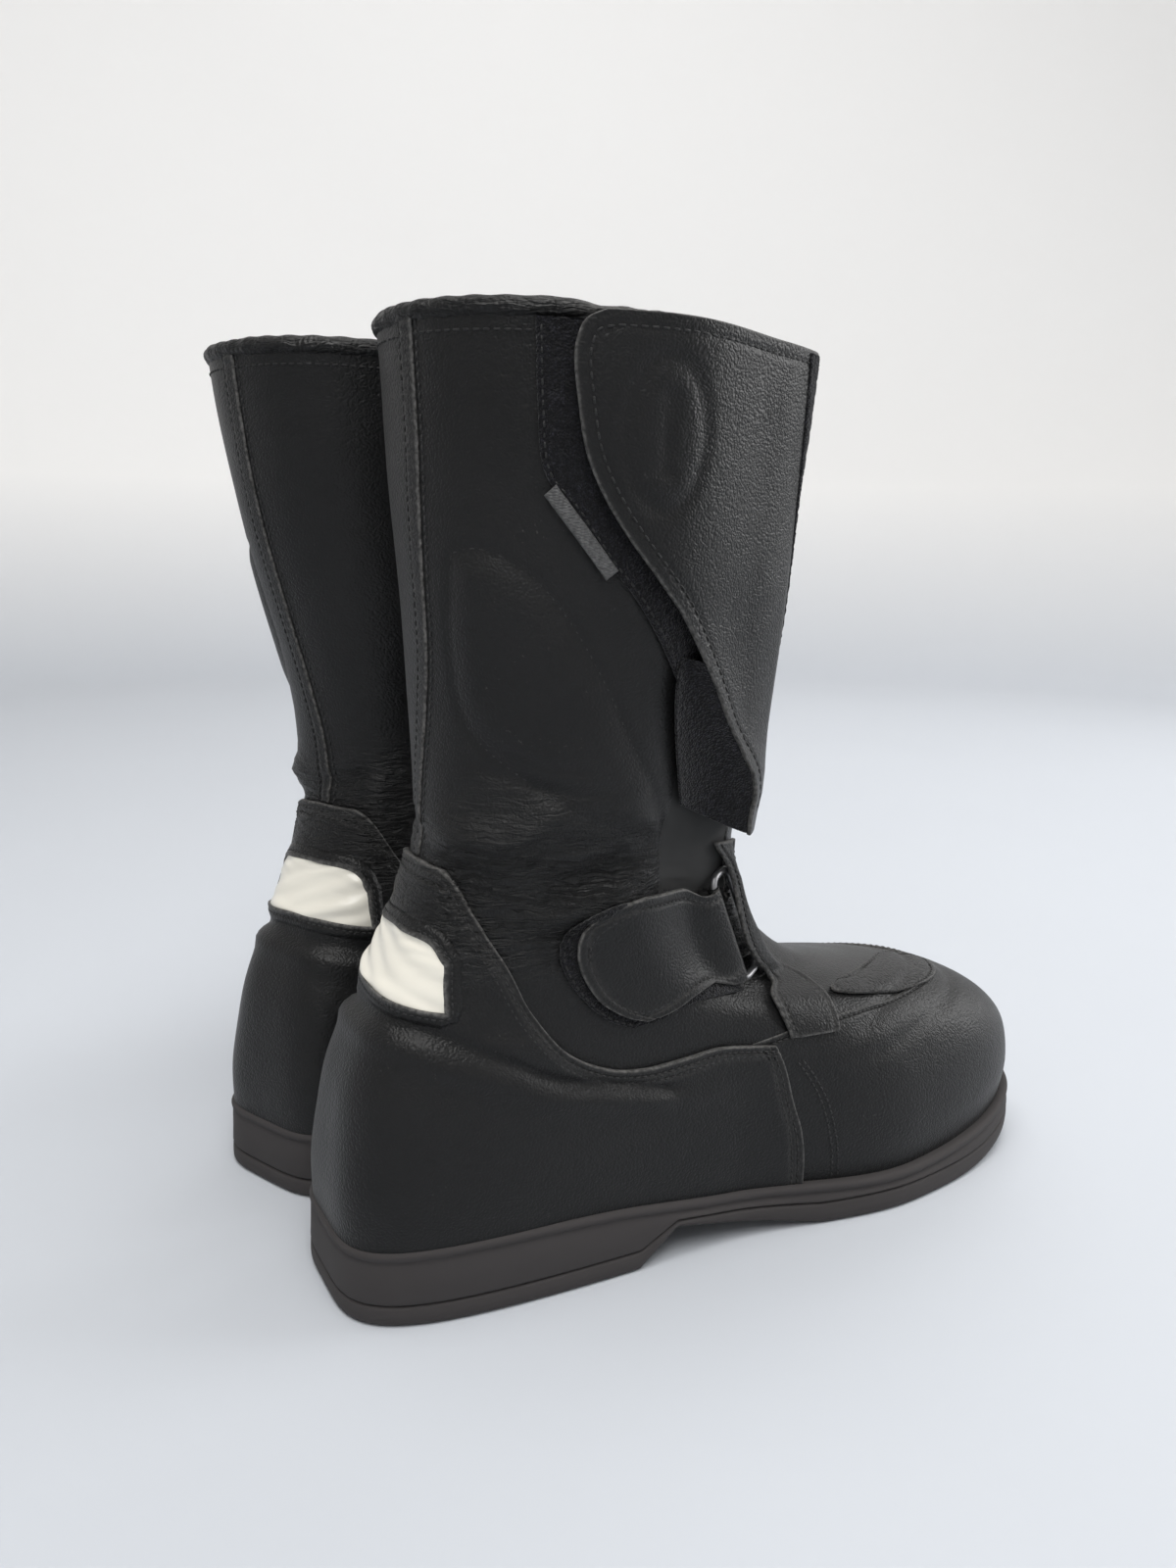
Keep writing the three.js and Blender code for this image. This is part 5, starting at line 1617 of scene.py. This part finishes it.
def build_stage():
    """The pale floor that sweeps up all round, the soft lights, and the camera."""
    scene = bpy.context.scene
    settings = scene.boot_stage
    profile = [(0.0, 0.0), (0.6, 0.0), (FLOOR_RADIUS, 0.0)]
    profile += [(FLOOR_RADIUS + SWEEP_RADIUS * math.sin(q), SWEEP_RADIUS - SWEEP_RADIUS * math.cos(q))
                for q in np.linspace(.1, math.pi / 2, 10)]
    profile += [(2.3, 1.4), (2.3, 2.4)]
    sides = 96
    turn = np.linspace(0, 2 * np.pi, sides, endpoint=False)
    points = np.concatenate([np.stack([r * np.cos(turn), r * np.sin(turn), np.full(sides, z)], -1)
                             for r, z in profile[1:]] + [np.zeros((1, 3))])
    faces = [f[::-1] for f in grid_faces(len(profile) - 1, sides, closed=True)]
    faces += [[k, (k + 1) % sides, len(points) - 1] for k in range(sides)]
    mesh = bpy.data.meshes.new("studio_floor")
    mesh.from_pydata((points - np.array([0, 0, FLOOR_DROP])).tolist(), [], faces)
    mesh.polygons.foreach_set("use_smooth", [True] * len(mesh.polygons))
    mesh.materials.append(studio_finish())
    floor = bpy.data.objects.new("studio_floor", mesh)
    scene.collection.objects.link(floor)
    world = bpy.data.worlds.new("studio_air")
    world.use_nodes = True
    air = world.node_tree.nodes["Background"].inputs
    air["Color"].default_value = (.90, .91, .93, 1)
    air["Strength"].default_value = settings.air
    scene.world = world
    soft_light("ceiling", (-0.25, -0.25, 1.7), (0, 0, 0.1), 1.1, settings.ceiling, (1.0, .99, .97))
    soft_light("outer_side", (1.5, -0.8, 0.8), (0, -0.05, 0.2), 0.9, settings.outer_side)
    soft_light("toe_side", (1.4, 0.6, 1.3), (0, 0, 0.2), 1.0, settings.toe_side)
    soft_light("rear_high", (-0.7, -0.95, 1.45), (0, -0.05, 0.12), 0.6, settings.rear_high)
    soft_light("wall", (0.55, 0.8, 1.9), (1.6, 1.9, 0.7), 1.2, settings.wall)
    scene.view_settings.view_transform = "Standard"
    camera = bpy.data.cameras.new("camera")
    camera.lens, camera.sensor_width, camera.sensor_fit = CAMERA_LENS, 36.0, "AUTO"
    camera.clip_start = 0.01
    holder = bpy.data.objects.new("camera", camera)
    fall = -math.tan(math.radians(CAMERA_PITCH)) * math.hypot(*CAMERA_HEADING)
    look = Vector((*CAMERA_HEADING, fall)).normalized()
    holder.location = CAMERA_PLACE
    holder.rotation_mode = "QUATERNION"
    roll = Quaternion((0, 0, 1), math.radians(CAMERA_ROLL))
    holder.rotation_quaternion = look.to_track_quat("-Z", "Y") @ roll
    scene.collection.objects.link(holder)
    scene.camera = holder


# ---- The add-on ---------------------------------------------------------------------------------
def tone(label, text, default):
    return bpy.props.FloatVectorProperty(name=label, description=text, default=default, subtype="COLOR",
                                         min=0.0, max=1.0)


class BootLeather(bpy.types.PropertyGroup):
    dark: tone("Dark leather", "Colour in the leather's darker patches", (.0042, .0042, .0043))
    light: tone("Light leather", "Colour in the leather's lighter patches", (.0078, .0078, .0080))
    # The cut-edge colour is also used for the painted highlight along stitch rows.
    cut_edge: tone("Cut edge", "Colour of raw and rubbed leather", (.13, .127, .122))
    roughness: bpy.props.FloatProperty(name="Roughness", description="How matte the leather is",
                                       default=0.42, min=0.0, max=1.0, subtype="FACTOR")


class BootSole(bpy.types.PropertyGroup):
    dark: tone("Dark rubber", "Colour in the rubber's darker patches", (.0055, .0055, .0053))
    light: tone("Light rubber", "Colour in the rubber's lighter patches", (.0105, .0104, .0100))
    scuff: tone("Scuffed rubber", "Colour of scuffs and dust on the rubber", (.062, .061, .057))


def power(label, text, default):
    return bpy.props.FloatProperty(name=label, description=text, default=default, unit="POWER")


class BootStage(bpy.types.PropertyGroup):
    air: bpy.props.FloatProperty(name="Air", description="Strength of the even light", default=0.13, min=0.0)
    ceiling: power("Ceiling", "Power of the overhead light", 22.0)
    outer_side: power("Outer side", "Power of the light on the outer side", 15.0)
    toe_side: power("Toe side", "Power of the light beyond the toes", 5.0)
    rear_high: power("Rear high", "Power of the high light behind the heels", 8.0)
    wall: power("Wall", "Power of the light on the far wall", 9.0)


BUILDERS = {
    "stage": ("Stage", build_stage),
    "soles": ("Soles", build_soles),
    "linings": ("Linings", build_linings),
    "shafts": ("Shafts", build_shafts),
    "fronts": ("Fronts", build_fronts),
    "gussets": ("Gussets", build_gussets),
    "quarters": ("Quarters", build_quarters),
    "reflectors": ("Reflectors", build_reflectors),
    "heel_badges": ("Heel badges", build_heel_badges),
    "shift_pads": ("Toe patches", build_shift_pads),
    "loop_strips": ("Loop strips", build_loop_strips),
    "flaps": ("Closure flaps", build_flaps),
    "side_labels": ("Side tabs", build_side_labels),
    "rings": ("Rings", build_rings),
    "keepers": ("Ring keepers", build_keepers),
    "strap_pads": ("Strap pads", build_strap_pads),
    "straps": ("Ankle straps", build_straps),
    "bindings": ("Rim rolls", build_bindings),
}


def operator(key, label, build):
    """An operator class that builds one piece or group of like pieces."""
    def execute(self, context):
        build()
        return {"FINISHED"}
    return type(f"BOOTS_OT_{key}", (bpy.types.Operator,), {
        "__doc__": build.__doc__, "bl_idname": f"boots.{key}", "bl_label": f"Build {label}",
        "execute": execute})


OPERATORS = [operator(key, label, build) for key, (label, build) in BUILDERS.items()]


class BOOTS_PT_panel(bpy.types.Panel):
    """Sizes, colours and the pieces of the pair."""
    bl_label = "Touring Boots"
    bl_idname = "BOOTS_PT_panel"
    bl_space_type = "VIEW_3D"
    bl_region_type = "UI"
    bl_category = "Boots"

    def draw(self, context):
        for settings in (context.scene.boot_leather, context.scene.boot_sole, context.scene.boot_stage):
            box = self.layout.box()
            for key in settings.__annotations__:
                box.prop(settings, key)
        for kind in OPERATORS:
            self.layout.operator(kind.bl_idname)


CLASSES = [BootLeather, BootSole, BootStage, *OPERATORS, BOOTS_PT_panel]
SETTINGS = {"boot_leather": BootLeather, "boot_sole": BootSole, "boot_stage": BootStage}


def register():
    for kind in CLASSES:
        bpy.utils.register_class(kind)
    for name, kind in SETTINGS.items():
        setattr(bpy.types.Scene, name, bpy.props.PointerProperty(type=kind))


def unregister():
    for name in SETTINGS:
        delattr(bpy.types.Scene, name)
    for kind in reversed(CLASSES):
        bpy.utils.unregister_class(kind)


def main():
    register()
    for key in BUILDERS:
        getattr(bpy.ops.boots, key)()


if __name__ == "__main__":
    main()
